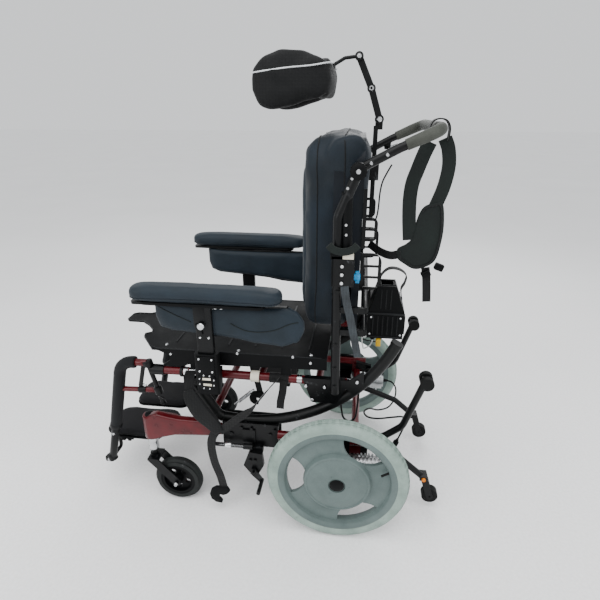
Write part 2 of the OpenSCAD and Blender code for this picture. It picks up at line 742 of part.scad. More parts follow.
module push_handle() color("#6b7278") {
    pin_x([handle_x, handle_y, handle_z], 17, 20);
    bent_tube([[handle_x, handle_y, handle_z], handle_bend, handle_end, [-handle_x, bar_y + 4, bar_z],
        [-handle_x, 112, 1098], [-handle_x, handle_y, handle_z]], 11, 34);
    pin_x([-handle_x, handle_y, handle_z], 17, 20);
    for (s = [-1, 1]) slab(-handle_x + s * 7 - 2, -handle_x + s * 7 + 2)
        polygon([[92, 1066], [110, 1066], [112, 1092], [90, 1086]]);
    pin_x(trigger_pivot, 3, 18);
    both() bent_tube([handle_bend + [0, 6, 2.8], handle_end, [20, bar_y + 4, bar_z]], 14.5, 34);
}

trigger_pivot = [-handle_x, 101, 1073];

// lever that unlocks the tilt, hung under the right arm of the handle
module tilt_trigger() color("silver") difference() {
    slab(-handle_x - 4, -handle_x + 4) polygon([[94, 1070], [104, 1066], [150, 1080], [178, 1094],
        [176, 1099], [146, 1088], [108, 1077.5], [96, 1074.5]]);
    pin_x(trigger_pivot, 3.05, 20);
}

// ---------- harness hung on the handle ----------

harness_x = [128, 142];

module harness() color("#2f3336") {
    slab(harness_x[0], harness_x[1]) polygon([[154, 916], [180, 925], [237, 931], [245, 807], [206, 789],
        [165, 795], [132, 836], [128, 852], [149, 856], [154, 880]]);
    strap([135, 166, 908], [135, 160, 1010], 26, 4);
    strap([135, 160, 1008], [135, 182, 1118], 26, 4);
    strap([135, 232, 915], [135, 242, 1040], 24, 5);
    strap([135, 242, 1038], [135, 226, 1118], 24, 4);
    block([123, 176, 1116], [147, 182, 1158]);
    block([123, 226, 1116], [147, 232, 1158]);
    block([123, 176, 1156], [147, 232, 1160]);
}

// ---------- loose motor lead ----------

lead_r = 3;
lead_route = [[-243, 158, 206], [-241, 180, 202], [-228, 196, 184], [-196, 192, 160],
    [-150, 168, 150], [-100, 128, 168], [-50, 92, 206], [-12, 74, 216], [0, 88, 206], [0, 124, 203],
    [0, 176, 214], [0, 206, 216], [0, 213, 188], [0, 202, 148], [0, 194, 124]];

module motor_cable() color("#1b1b1d") cord(smooth(lead_route, 5), lead_r, 8);
module cable_plug() color("#101012") {
    z = unit([0, -8, -24]);
    oriented([0, 194, 124] + 0.2 * z, [1, 0, 0], z) {
        cylinder(h = 10, r = 5);
        translate([0, 0, 10]) cylinder(h = 24, r = 9);
    }
}

place() base_frame();
place() caster_arms();
place() roller_housings();
place() axle_mounts();
place() drive_motors();
place() wheel_lock_mounts();
place() front_rollers();
place() rear_rollers();
place() wheel_left();
place() wheel_right();
place() tyre_left();
place() tyre_right();
place() fork_left();
place() fork_right();
place() caster_hub_left();
place() caster_hub_right();
place() caster_tyre_left();
place() caster_tyre_right();
place() lock_lever_left();
place() lock_lever_right();
place() anti_tip_left();
place() anti_tip_right();
place() anti_tip_wheel_left();
place() anti_tip_wheel_right();
place() release_button_left();
place() release_button_right();
place() step_arm_left();
place() step_arm_right();
place() step_wheels_left();
place() step_wheels_right();
place() rockers();
place() seat_frame();
place() seat_brackets();
place() seat_pan();
place() arm_receivers();
place() positioning_belt();
place() armrest_left();
place() armrest_right();
place() arm_pad_left();
place() arm_pad_right();
place() hanger_left();
place() hanger_right();
place() footplate_left();
place() footplate_right();
place() back_canes();
place() back_shell();
place() back_cushion();
place() back_hardware();
place() battery_box();
place() latch_knob();
place() headrest_bar();
place() headrest_link_lower();
place() headrest_link_upper();
place() headrest_pad();
place() push_handle();
place() tilt_trigger();
place() harness();
place() motor_cable();
place() cable_plug();
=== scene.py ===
"""Looks of a tilt-in-space power wheelchair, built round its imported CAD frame.

Lengths in this file are millimetres, measured along Y from the rear axle line, and at() turns them
into metres in the frame's own axes. X is the chair's left, the front faces -Y and Z is up."""

import math

import bmesh
import bpy
from mathutils import Matrix, Vector, noise


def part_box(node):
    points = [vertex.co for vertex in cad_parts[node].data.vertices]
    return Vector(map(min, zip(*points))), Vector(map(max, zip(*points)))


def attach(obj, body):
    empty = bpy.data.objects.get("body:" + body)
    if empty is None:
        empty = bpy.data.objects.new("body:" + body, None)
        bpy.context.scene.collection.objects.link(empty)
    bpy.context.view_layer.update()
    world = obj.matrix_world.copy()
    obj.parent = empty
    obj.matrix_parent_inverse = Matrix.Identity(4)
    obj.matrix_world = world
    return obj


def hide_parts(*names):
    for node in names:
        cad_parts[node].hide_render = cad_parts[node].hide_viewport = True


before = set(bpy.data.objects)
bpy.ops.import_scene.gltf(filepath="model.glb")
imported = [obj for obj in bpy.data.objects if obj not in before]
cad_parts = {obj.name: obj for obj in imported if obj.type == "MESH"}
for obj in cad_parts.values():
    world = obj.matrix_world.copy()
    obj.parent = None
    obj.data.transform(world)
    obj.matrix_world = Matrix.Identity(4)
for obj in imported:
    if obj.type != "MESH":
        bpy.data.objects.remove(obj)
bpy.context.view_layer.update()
SCENE = bpy.context.scene

MM = 0.001
TYRE_LOW, TYRE_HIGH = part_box("tyre_left")
AXLE_Y = (TYRE_LOW.y + TYRE_HIGH.y) / 2
LEFT, RIGHT = 1, -1
SIDES = ((LEFT, "left"), (RIGHT, "right"))
RIGHT_ARM_LIFT = 12      # the right armrest stands this much higher, in millimetres


def at(x, y, z):
    """A point given in millimetres from the axle line, in the frame's metres."""
    return Vector((x * MM, y * MM + AXLE_Y, z * MM))


# ---------- camera ----------

CAMERA_AT = at(1340, 30, 1176)
CAMERA_YAW, CAMERA_PITCH = 0.1312, 0.3866
camera_data = bpy.data.cameras.new("camera")
camera_data.sensor_width = 36
camera_data.lens = 27.84
camera = bpy.data.objects.new("camera", camera_data)
SCENE.collection.objects.link(camera)
SCENE.camera = camera
camera.location = CAMERA_AT
look = Vector((-math.cos(CAMERA_YAW) * math.cos(CAMERA_PITCH),
               -math.sin(CAMERA_YAW) * math.cos(CAMERA_PITCH), -math.sin(CAMERA_PITCH)))
camera.rotation_mode = "QUATERNION"
camera.rotation_quaternion = look.to_track_quat("-Z", "Y")


# ---------- materials ----------


def linear(code):
    """Linear colour of an sRGB hex value."""
    parts = [int(code[i:i + 2], 16) / 255 for i in (1, 3, 5)]
    return tuple(c / 12.92 if c <= 0.04045 else ((c + 0.055) / 1.055) ** 2.4 for c in parts) + (1.0,)


def add(tree, kind, links=(), **settings):
    """Adds a node; links are (input, socket or value) pairs, settings are the node's own."""
    made = tree.nodes.new(kind)
    for key, value in settings.items():
        setattr(made, key, value)
    for key, value in links:
        if isinstance(value, bpy.types.NodeSocket):
            tree.links.new(value, made.inputs[key])
        else:
            made.inputs[key].default_value = value
    return made


def finish_of(name, dark, light, rough, patch=70, grain=3, depth=0.15, metallic=0.0, coat=0.0,
              coat_rough=0.08, sheen=0.0, scuff=None, scuffed=0.0, pattern="grain", spread=0.10,
              specular=0.2):
    """A made surface: its colour drifts between dark and light over patches, grain mm apart is its
    texture and depth mm its relief, and scuff is the colour of the rubbed places."""
    material = bpy.data.materials.new(name)
    material.use_nodes = True
    tree = material.node_tree
    tree.nodes.clear()
    out = add(tree, "ShaderNodeOutputMaterial")
    shader = add(tree, "ShaderNodeBsdfPrincipled", [("Metallic", metallic), ("Coat Weight", coat),
        ("Coat Roughness", coat_rough), ("Sheen Weight", sheen), ("Specular IOR Level", specular)])
    tree.links.new(shader.outputs[0], out.inputs[0])
    place = add(tree, "ShaderNodeTexCoord").outputs["Object"]
    drift = add(tree, "ShaderNodeTexNoise", [("Vector", place), ("Scale", 1000 / patch),
        ("Detail", 6.0), ("Roughness", 0.6)])
    spreaded = add(tree, "ShaderNodeMapRange", [("Value", drift.outputs[0]), ("From Min", 0.3),
        ("From Max", 0.7)])
    colour = add(tree, "ShaderNodeMix", [(0, spreaded.outputs[0]), (6, linear(dark)),
        (7, linear(light))], data_type="RGBA").outputs[2]
    gloss = add(tree, "ShaderNodeMapRange", [("Value", drift.outputs[0]), ("From Min", 0.3),
        ("From Max", 0.7), ("To Min", max(0.03, rough - spread)), ("To Max", min(1, rough + spread))]
        ).outputs[0]
    if pattern == "weave":
        # warp and weft threads, as two crossed sets of bands
        threads = [add(tree, "ShaderNodeTexWave", [("Vector", place), ("Scale", 1000 / grain / 20 * 3.14),
            ("Distortion", 0.6), ("Detail", 1.0), ("Detail Scale", 2.0)],
            bands_direction=way).outputs[1] for way in ("DIAGONAL", "Z", "Y")]
        one = add(tree, "ShaderNodeMath", [(0, threads[0]), (1, threads[1])], operation="MULTIPLY")
        relief = add(tree, "ShaderNodeMath", [(0, one.outputs[0]), (1, threads[2])],
                operation="ADD").outputs[0]
    elif pattern == "knit":
        cells = add(tree, "ShaderNodeTexVoronoi", [("Vector", place), ("Scale", 1000 / grain),
            ("Randomness", 0.55)])
        relief = cells.outputs[0]
    elif pattern == "brushed":
        long_way = add(tree, "ShaderNodeMapping", [("Vector", place), ("Scale", (1.0, 0.05, 1.0))])
        relief = add(tree, "ShaderNodeTexNoise", [("Vector", long_way.outputs[0]),
            ("Scale", 1000 / grain), ("Detail", 3.0)]).outputs[0]
    else:
        relief = add(tree, "ShaderNodeTexNoise", [("Vector", place), ("Scale", 1000 / grain),
            ("Detail", 4.0)]).outputs[0]
    shade = add(tree, "ShaderNodeMapRange", [("Value", relief), ("To Min", 0.86), ("To Max", 1.10)])
    tint = add(tree, "ShaderNodeVectorMath", [(0, colour), (3, shade.outputs[0])], operation="SCALE")
    colour = tint.outputs[0]
    if scuff:
        marks = add(tree, "ShaderNodeTexNoise", [("Vector", place), ("Scale", 1000 / 28),
            ("Detail", 9.0), ("Roughness", 0.72)])
        worn = add(tree, "ShaderNodeMapRange", [("Value", marks.outputs[0]), ("From Min", 0.60),
            ("From Max", 0.70), ("To Max", scuffed)])
        colour = add(tree, "ShaderNodeMix", [(0, worn.outputs[0]), (6, colour), (7, linear(scuff))],
            data_type="RGBA").outputs[2]
    bump = add(tree, "ShaderNodeBump", [("Height", relief), ("Distance", depth * MM), ("Strength", 0.9)])
    for key, value in (("Base Color", colour), ("Roughness", gloss), ("Normal", bump.outputs[0])):
        tree.links.new(value, shader.inputs[key])
    return material


# Powder-coated steel: baked powder leaves a satin skin with a faint orange peel.
POWDER_BLACK = finish_of("powder_coated_steel_black", "#040506", "#0a0b0c", 0.36, grain=2.5, depth=0.06,
                         scuff="#54565a", scuffed=0.22)
# The rockers are the same coat, rubbed duller where they ride on their rollers.
ROCKER_BLACK = finish_of("powder_coated_tube_satin", "#060707", "#101212", 0.42, grain=2.5, depth=0.06,
                         scuff="#66686b", scuffed=0.3)
# Anodised aluminium, black: harder and drier looking than paint.
ANODISED_BLACK = finish_of("anodised_aluminium_black", "#040405", "#0a0b0c", 0.33, grain=1.5, depth=0.03,
                           scuff="#8c8f93", scuffed=0.25)
# Candy red lacquer over a metallic base coat: flakes under a wet clear coat.
CANDY_RED = finish_of("metallic_red_lacquer", "#40030a", "#5c0610", 0.34, patch=45, grain=1.6, depth=0.02,
                      metallic=0.1, coat=0.3, coat_rough=0.1)
# Die-cast aluminium, bead blasted.
CAST_ALUMINIUM = finish_of("die_cast_aluminium", "#a9acae", "#d6d8d9", 0.34, grain=2, depth=0.08, metallic=1.0)
# Zinc-plated steel: pins, screws and rods.
ZINC_STEEL = finish_of("zinc_plated_steel", "#b4b6b8", "#e2e3e4", 0.24, grain=2, depth=0.03, metallic=1.0,
                       pattern="brushed")
# Glass-filled nylon moulding in silver grey: satin, faint flow marks.
SILVER_NYLON = finish_of("moulded_nylon_silver", "#525f5d", "#687674", 0.46, patch=120, grain=4, depth=0.05,
                         scuff="#6d7374", scuffed=0.35)
# Grey non-marking tyre rubber: chalky, dust in the tread.
GREY_RUBBER = finish_of("vulcanised_rubber_grey", "#788a82", "#94a59d", 0.8, patch=50, grain=2.5, depth=0.2,
                        scuff="#5d6360", scuffed=0.4)
# Solid polyurethane caster tyre, dark grey.
DARK_RUBBER = finish_of("cast_polyurethane_dark_grey", "#161818", "#262928", 0.66, patch=30, grain=3, depth=0.12,
                        scuff="#77797c", scuffed=0.35)
# Black rubber of the small rollers and bumpers.
BLACK_RUBBER = finish_of("vulcanised_rubber_black", "#040505", "#0a0b0b", 0.7, grain=2.5, depth=0.1,
                         scuff="#57585a", scuffed=0.4)
# Moulded ABS, fine spark-eroded texture.
BLACK_ABS = finish_of("moulded_abs_black", "#040506", "#0a0b0c", 0.5, grain=1.8, depth=0.12, specular=0.1)
SATIN_ABS = finish_of("moulded_abs_dark_grey", "#0d0f10", "#17191b", 0.42, grain=1.8, depth=0.1)
NAVY_ABS = finish_of("moulded_abs_blue_black", "#080c12", "#10161d", 0.5, grain=2, depth=0.1)
# Stretch polyurethane-coated knit: the threads are 0.4 mm and are drawn 3 mm apart to show.
NAVY_KNIT = finish_of("coated_stretch_knit_navy", "#0b1319", "#141e27", 0.6, patch=90, grain=3.2, depth=0.25,
                      sheen=0.05, pattern="knit")
SLATE_KNIT = finish_of("coated_stretch_knit_slate", "#131c23", "#1f2a33", 0.55, patch=110, grain=3.2, depth=0.25,
                       sheen=0.05, pattern="knit")
# Woven polyester, black, with a soft surface.
BLACK_WOVEN = finish_of("woven_polyester_black", "#060708", "#0d0e0f", 0.74, patch=60, grain=4, depth=0.3,
                        sheen=0.05, pattern="weave")
# Polyester webbing: ribs across the strap, drawn 4 mm apart.
WEBBING_BLACK = finish_of("polyester_webbing_black", "#040405", "#0a0b0c", 0.7, patch=40, grain=4, depth=0.35,
                          sheen=0.12, pattern="weave")
WEBBING_GREY = finish_of("polyester_webbing_grey", "#24282b", "#383d41", 0.7, patch=40, grain=4, depth=0.3,
                         sheen=0.12, pattern="weave")
HARNESS_FELT = finish_of("laminated_neoprene_grey", "#0f1413", "#191f1d", 0.78, patch=50, grain=3, depth=0.3,
                         sheen=0.05, pattern="knit")
# Charcoal air-mesh knit over foam, on the foot pads.
FOOT_MESH = finish_of("air_mesh_knit_charcoal", "#0b0b0d", "#17171a", 0.84, patch=40, grain=5, depth=0.6,
                      sheen=0.05, pattern="knit")
# Closed-cell nitrile foam sleeves, skin rubbed smooth by hands.
GREY_FOAM = finish_of("nitrile_foam_grey", "#333530", "#484a45", 0.66, patch=50, grain=2.4, depth=0.2, sheen=0.05)
DARK_FOAM = finish_of("nitrile_foam_charcoal", "#06070a", "#0e1013", 0.7, patch=50, grain=2.4, depth=0.2, sheen=0.05)
BLUE_NYLON = finish_of("moulded_nylon_blue", "#0b5a8c", "#1f8cc4", 0.32, grain=2, depth=0.05)
ORANGE_NYLON = finish_of("moulded_nylon_orange", "#d06a06", "#f08a1c", 0.35, grain=2, depth=0.05)
YELLOW_NYLON = finish_of("moulded_nylon_yellow", "#b88d10", "#d9b02a", 0.4, grain=2, depth=0.05)
# Reflective piping: glass beads in grey tape.
SILVER_PIPING = finish_of("glass_bead_piping_silver", "#a8abad", "#d2d5d7", 0.35, grain=2, depth=0.1, metallic=0.5)
# Blank polyester film labels, yellowed.
CREAM_FILM = finish_of("polyester_film_cream", "#c9c2ad", "#e4dfcf", 0.4, grain=3, depth=0.02)
WHITE_PVC = finish_of("extruded_pvc_white", "#c4c6c6", "#e0e1e0", 0.45, grain=2, depth=0.05)
BLACK_PVC = finish_of("extruded_pvc_black", "#040505", "#0a0b0b", 0.42, grain=2, depth=0.05)


# ---------- making meshes ----------


def shift(bm, geom, matrix):
    """Moves the vertices in geom by a matrix."""
    bmesh.ops.transform(bm, matrix=matrix, verts=[v for v in geom if isinstance(v, bmesh.types.BMVert)])


def soften(bm, verts, edge, steps=2, sharper=30):
    """Rounds the edges between faces of these vertices that meet at an angle."""
    found = {e for v in verts for e in v.link_edges
             if len(e.link_faces) == 2 and e.calc_face_angle(0) > math.radians(sharper)}
    if edge and found:
        bmesh.ops.bevel(bm, geom=list(found), offset=edge * MM, offset_type="OFFSET", segments=steps,
                        profile=0.5, affect="EDGES", material=-1, clamp_overlap=True)


def box(bm, low, high, edge=1.0, steps=2, turn=None, about=None):
    """Block between two corners with rounded edges, turned about a point if asked."""
    a, b = at(*low), at(*high)
    size = Matrix.Diagonal((*(b - a), 1))
    made = bmesh.ops.create_cube(bm, size=1, matrix=Matrix.Translation((a + b) / 2) @ size)["verts"]
    if turn is not None:
        centre = at(*about) if about else (a + b) / 2
        shift(bm, made, Matrix.Translation(centre) @ turn.to_4x4() @ Matrix.Translation(-centre))
    soften(bm, made, edge, steps)


def toward(direction, side=(0, 0, 1)):
    """Rotation whose Z is the direction and whose Y lies near side."""
    z = Vector(direction).normalized()
    y = Vector(side) - z * Vector(side).dot(z)
    if y.length < 1e-3:
        y = Vector((0, 1, 0)) - z * z.y
    y.normalize()
    return Matrix((y.cross(z), y, z)).transposed()


def rod(bm, a, b, r, tip=None, round_over=24, edge=0.6):
    """Round bar between two points, with softened ends."""
    p, q = at(*a), at(*b)
    place = Matrix.Translation((p + q) / 2) @ toward(q - p).to_4x4()
    made = bmesh.ops.create_cone(bm, cap_ends=True, segments=round_over, radius1=r * MM,
                                 radius2=(r if tip is None else tip) * MM, depth=(q - p).length,
                                 matrix=place)["verts"]
    soften(bm, made, edge, 2, 50)


def screws(bm, side, x, r, spots, rise=2.5):
    """Screws on an outward face at side * x, one at each (y, z) spot."""
    for y, z in spots:
        screw(bm, (side * x, y, z), r, (side, 0, 0), rise)


def curve_through(points, steps=8):
    """Points of a smooth curve through the given ones, in millimetres."""
    p = [Vector(q) for q in points]
    found = []
    for i in range(len(p) - 1):
        a, b, c, d = p[max(i - 1, 0)], p[i], p[i + 1], p[min(i + 2, len(p) - 1)]
        for k in range(steps):
            t = k / steps
            found.append(0.5 * (2 * b + (c - a) * t + (2 * a - 5 * b + 4 * c - d) * t * t
                                + (3 * b - a - 3 * c + d) * t ** 3))
    return found + [p[-1]]


def rounded_path(points, bend, steps=6):
    """The broken line through points with each inner corner turned into an arc of radius bend."""
    p = [Vector(q) for q in points]
    found = [p[0]]
    for a, b, c in zip(p, p[1:], p[2:]):
        d, e = (b - a).normalized(), (c - b).normalized()
        turn = d.angle(e)
        trim = bend * math.tan(turn / 2)
        inward = d.cross(e).cross(d).normalized()
        centre = b - d * trim + inward * bend
        found += [centre + bend * (math.sin(turn * i / steps) * d - math.cos(turn * i / steps) * inward)
                  for i in range(steps + 1)]
    return found + [p[-1]]


def sweep(bm, points, wide, thick=None, side=(0, 0, 1), corners=16, caps=True, swell=None):
    """Sweeps a round, or with thick a flat, section along points; side is where its width lies."""
    p = [at(*q) for q in points]
    rings, made = [], []
    for i, q in enumerate(p):
        way = p[min(i + 1, len(p) - 1)] - p[max(i - 1, 0)]
        grow = swell(i / (len(p) - 1)) if swell else 1.0
        turn = toward(way, side).to_4x4()
        if thick is None:
            size = Matrix.Diagonal((wide * MM * grow, wide * MM * grow, 1, 1))
            ring = bmesh.ops.create_circle(bm, segments=corners, radius=1,
                                           matrix=Matrix.Translation(q) @ turn @ size)["verts"]
        else:
            size = Matrix.Diagonal((thick * MM * grow, wide * MM * grow, 1, 1))
            ring = bmesh.ops.create_circle(bm, segments=4, radius=math.sqrt(0.5),
                                           matrix=Matrix.Translation(q) @ turn @ size
                                           @ Matrix.Rotation(math.pi / 4, 4, "Z"))["verts"]
        rings.append({e for v in ring for e in v.link_edges})
        made += ring
        if caps and i in (0, len(p) - 1):
            bmesh.ops.contextual_create(bm, geom=list(rings[-1]))
    for one, two in zip(rings, rings[1:]):
        bmesh.ops.bridge_loops(bm, edges=list(one | two))
    return made


def plate(bm, outline, x0, x1, edge=0.8, steps=2):
    """Flat plate: an outline in (y, z) thickened along X, with softened edges."""
    face = bm.faces.new([bm.verts.new(at(x0, y, z)) for y, z in outline])
    grown = bmesh.ops.extrude_face_region(bm, geom=[face], use_keep_orig=True)["geom"]
    verts = [v for v in grown if isinstance(v, bmesh.types.BMVert)]
    bmesh.ops.translate(bm, verts=verts, vec=Vector(((x1 - x0) * MM, 0, 0)))
    soften(bm, verts + list(face.verts), edge, steps)


def turned(bm, centre, outline, steps=48, axis="X"):
    """Turned part: an outline of (radius, along) spun once about an axis through the centre."""
    c = at(*centre)
    along, out = {"X": ((1, 0, 0), (0, 0, 1)), "Y": ((0, 1, 0), (0, 0, 1)), "Z": ((0, 0, 1), (0, 1, 0))}[axis]
    verts = [bm.verts.new(c + (Vector(along) * s + Vector(out) * r) * MM) for r, s in outline]
    edges = [bm.edges.new(pair) for pair in zip(verts, verts[1:])]
    bmesh.ops.spin(bm, geom=verts + edges, cent=c, axis=along, angle=2 * math.pi, steps=steps,
                   use_merge=True)
    bmesh.ops.remove_doubles(bm, verts=bm.verts, dist=1e-6)


def show(name, bm, material, body, replaces=(), smooth=38, turn_out=True):
    """Makes the mesh a piece that rides on a body."""
    if turn_out:
        bmesh.ops.recalc_face_normals(bm, faces=bm.faces)
    mesh = bpy.data.meshes.new(name)
    bm.to_mesh(mesh)
    bm.free()
    mesh.shade_smooth()
    mesh.set_sharp_from_angle(angle=math.radians(smooth))
    made = bpy.data.objects.new(name, mesh)
    SCENE.collection.objects.link(made)
    mesh.materials.append(material)
    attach(made, body)
    if replaces:
        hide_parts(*replaces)
    return made


# ---------- the loose motor lead ----------

LEAD_ROUTE = ((-243, 158, 206), (-241, 180, 202), (-228, 196, 184), (-196, 192, 160),
              (-150, 168, 150), (-100, 128, 168), (-50, 92, 206), (-12, 74, 216), (0, 88, 206),
              (0, 124, 203), (0, 176, 214), (0, 206, 216), (0, 213, 188), (0, 202, 148), (0, 194, 124))


def lead(name, route, across, body, material, steps=5):
    """A round lead as a curve through its route."""
    line = bpy.data.curves.new(name, "CURVE")
    line.dimensions = "3D"
    line.bevel_depth = across / 2 * MM
    line.bevel_resolution = 4
    line.use_fill_caps = True
    points = [at(*p) for p in curve_through(route, steps)]
    spline = line.splines.new("POLY")
    spline.points.add(len(points) - 1)
    for point, place in zip(spline.points, points):
        point.co = (*place, 1)
    made = bpy.data.objects.new(name, line)
    SCENE.collection.objects.link(made)
    line.materials.append(material)
    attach(made, body)
    length = sum((b - a).length for a, b in zip(points, points[1:]))
    return made, points, length


motor_lead, lead_points, lead_length = lead("motor_lead", LEAD_ROUTE, 6, "base", BLACK_PVC)
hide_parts("motor_cable")
PLUG_TOP = (0, 194, 124)
bm = bmesh.new()
rod(bm, PLUG_TOP, (0, 191, 115), 5)
rod(bm, (0, 191, 115), (0, 183.3, 92), 9)
for k in range(4):
    rod(bm, (0, 190 - 1.3 * k, 112 - 3.9 * k), (0, 189.5 - 1.3 * k, 110.4 - 3.9 * k), 9.6)
lead_plug = show("motor_lead_plug", bm, BLACK_ABS, "base", ("cable_plug",))
bm = bmesh.new()
rod(bm, (-243, 147, 206), (-242.6, 166, 207), 6.5, 3.6)
show("motor_lead_gland", bm, BLACK_RUBBER, "base")

# the short loop of control cable under the seat, both ends held by the seat's own parts
LOOP_ROUTE = ((150, -5, 400), (150, -3, 367), (150, 1, 330), (150, 8, 304), (150, 26, 294), (150, 42, 308),
              (150, 47, 345), (150, 50, 400))
control_loop, loop_points, loop_length = lead("control_cable_loop", LOOP_ROUTE, 6, "seat", BLACK_PVC)

# ---------- finishes of the frame's own parts ----------

CAD_FINISH = {
    "base_frame": CANDY_RED, "caster_arms": CANDY_RED, "seat_frame": CANDY_RED, "rockers": ROCKER_BLACK,
    "roller_housings": ANODISED_BLACK, "axle_mounts": POWDER_BLACK, "wheel_lock_mounts": ANODISED_BLACK,
    "seat_brackets": ANODISED_BLACK, "arm_receivers": BLACK_ABS, "back_canes": POWDER_BLACK,
    "back_hardware": ANODISED_BLACK, "drive_motors": CAST_ALUMINIUM, "front_rollers": BLACK_RUBBER,
    "rear_rollers": BLACK_RUBBER, "seat_pan": BLACK_ABS, "back_shell": NAVY_ABS, "battery_box": BLACK_ABS,
    "headrest_bar": POWDER_BLACK, "headrest_link_lower": POWDER_BLACK, "headrest_link_upper": POWDER_BLACK,
    "tilt_trigger": ZINC_STEEL, "latch_knob": BLUE_NYLON, "push_handle": GREY_FOAM, "harness": HARNESS_FELT,
    "positioning_belt": WEBBING_BLACK, "headrest_pad": BLACK_WOVEN,
    "back_cushion": NAVY_KNIT,
}
for _, side in SIDES:
    CAD_FINISH |= {
        f"wheel_{side}": SILVER_NYLON, f"tyre_{side}": GREY_RUBBER, f"fork_{side}": POWDER_BLACK,
        f"caster_hub_{side}": BLACK_ABS, f"caster_tyre_{side}": DARK_RUBBER,
        f"lock_lever_{side}": POWDER_BLACK, f"anti_tip_{side}": POWDER_BLACK,
        f"anti_tip_wheel_{side}": BLACK_RUBBER, f"release_button_{side}": ORANGE_NYLON,
        f"step_arm_{side}": POWDER_BLACK, f"step_wheels_{side}": BLACK_RUBBER,
        f"armrest_{side}": POWDER_BLACK, f"arm_pad_{side}": SLATE_KNIT, f"hanger_{side}": DARK_FOAM,
        f"footplate_{side}": FOOT_MESH,
    }
for node_name, finish in CAD_FINISH.items():
    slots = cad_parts[node_name].data.materials
    slots.clear()
    slots.append(finish)


def slabs(bm, outline, low, high, across="Z", edge=0.8, steps=2):
    """Like plate(), for an outline in (x, y) thickened along Z or in (x, z) thickened along Y."""
    def spot(a, b):
        return at(a, b, low) if across == "Z" else at(a, low, b)
    grow = Vector((0, 0, high - low)) if across == "Z" else Vector((0, high - low, 0))
    face = bm.faces.new([bm.verts.new(spot(a, b)) for a, b in outline])
    grown = bmesh.ops.extrude_face_region(bm, geom=[face], use_keep_orig=True)["geom"]
    verts = [v for v in grown if isinstance(v, bmesh.types.BMVert)]
    bmesh.ops.translate(bm, verts=verts, vec=grow * MM)
    soften(bm, verts + list(face.verts), edge, steps)


def round_outline(cx, cy, w, h, r, step=9):
    """Points round a rectangle with round corners, close together."""
    found = []
    corners = ((1, 1, 0), (-1, 1, 90), (-1, -1, 180), (1, -1, 270))
    for i, (sx, sy, start) in enumerate(corners):
        mx, my = cx + sx * (w / 2 - r), cy + sy * (h / 2 - r)
        found += [(mx + r * math.cos(math.radians(start + a)), my + r * math.sin(math.radians(start + a)))
                  for a in range(0, 91, 15)]
        nx, ny, nstart = corners[(i + 1) % 4]
        end = (cx + nx * (w / 2 - r) + r * math.cos(math.radians(nstart)),
               cy + ny * (h / 2 - r) + r * math.sin(math.radians(nstart)))
        gap = math.dist(found[-1], end)
        found += [tuple(a + (b - a) * k * step / gap for a, b in zip(found[-1], end))
                  for k in range(1, int(gap / step))]
    return found


def screw(bm, place, r=5, axis=(1, 0, 0), rise=2.5):
    """Button-head screw with a hexagon recess, standing on a face at place."""
    base = at(*place)
    turn = Matrix.Translation(base) @ toward(axis).to_4x4()
    head = bmesh.ops.create_cone(bm, cap_ends=True, segments=20, radius1=r * MM, radius2=r * 0.72 * MM,
                                 depth=rise * MM,
                                 matrix=turn @ Matrix.Translation((0, 0, rise / 2 * MM)))["verts"]
    top = max({f for v in head for f in v.link_faces}, key=lambda f: (f.calc_center_median() - base)
              .dot(Vector(axis)))
    bmesh.ops.inset_individual(bm, faces=[top], thickness=r * 0.26 * MM)
    bmesh.ops.inset_individual(bm, faces=[top], thickness=r * 0.05 * MM, depth=-rise * 0.5 * MM)


def inflated(name, bm, material, body, voxel, pressure, cap, replaces=(), wrinkle=0.0):
    """Padded piece: the mesh is remeshed, blown up a little as cloth, and wrinkled."""
    bmesh.ops.recalc_face_normals(bm, faces=bm.faces)
    mesh = bpy.data.meshes.new(name)
    bm.to_mesh(mesh)
    bm.free()
    pad = bpy.data.objects.new(name, mesh)
    SCENE.collection.objects.link(pad)
    remesh = pad.modifiers.new("even", "REMESH")
    remesh.mode = "VOXEL"
    remesh.voxel_size = voxel * MM
    even = bpy.data.meshes.new_from_object(pad.evaluated_get(bpy.context.evaluated_depsgraph_get()))
    pad.modifiers.clear()
    pad.data = even
    cloth = pad.modifiers.new("air", "CLOTH")
    cloth.settings.use_pressure = True
    cloth.settings.uniform_pressure_force = pressure
    cloth.settings.effector_weights.gravity = 0
    cloth.settings.quality = 4
    cloth.point_cache.frame_end = 20
    for step in range(1, 21):
        SCENE.frame_set(step)
    blown = pad.evaluated_get(bpy.context.evaluated_depsgraph_get()).data
    moves = [b.co - a.co for a, b in zip(even.vertices, blown.vertices)]
    pad.modifiers.clear()
    SCENE.frame_set(1)
    for vertex, move in zip(even.vertices, moves):
        far = move.length
        vertex.co += move * (min(far, cap * MM) / far if far > 0 else 0)
    soft = bmesh.new()
    soft.from_mesh(even)
    for _ in range(3):
        bmesh.ops.smooth_vert(soft, verts=soft.verts, factor=0.5, use_axis_x=True, use_axis_y=True,
                              use_axis_z=True)
    if wrinkle:
        soft.normal_update()
        for v in soft.verts:
            fold = noise.noise(Vector((v.co.x * 9, v.co.y * 26 + v.co.z * 14, v.co.z * 30)))
            v.co += v.normal * fold * wrinkle * MM
    soft.to_mesh(even)
    soft.free()
    even.shade_smooth()
    even.materials.clear()
    even.materials.append(material)
    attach(pad, body)
    if replaces:
        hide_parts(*replaces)
    return pad


def hugging(pad, points, lift=0.6):
    """The points moved onto a padded piece's surface, a little proud of it."""
    origin, found = at(0, 0, 0), []
    for p in points:
        _, place, out, _ = pad.closest_point_on_mesh(at(*p))
        spot = (place + out * lift * MM - origin) / MM
        found.append(tuple(spot))
    return found


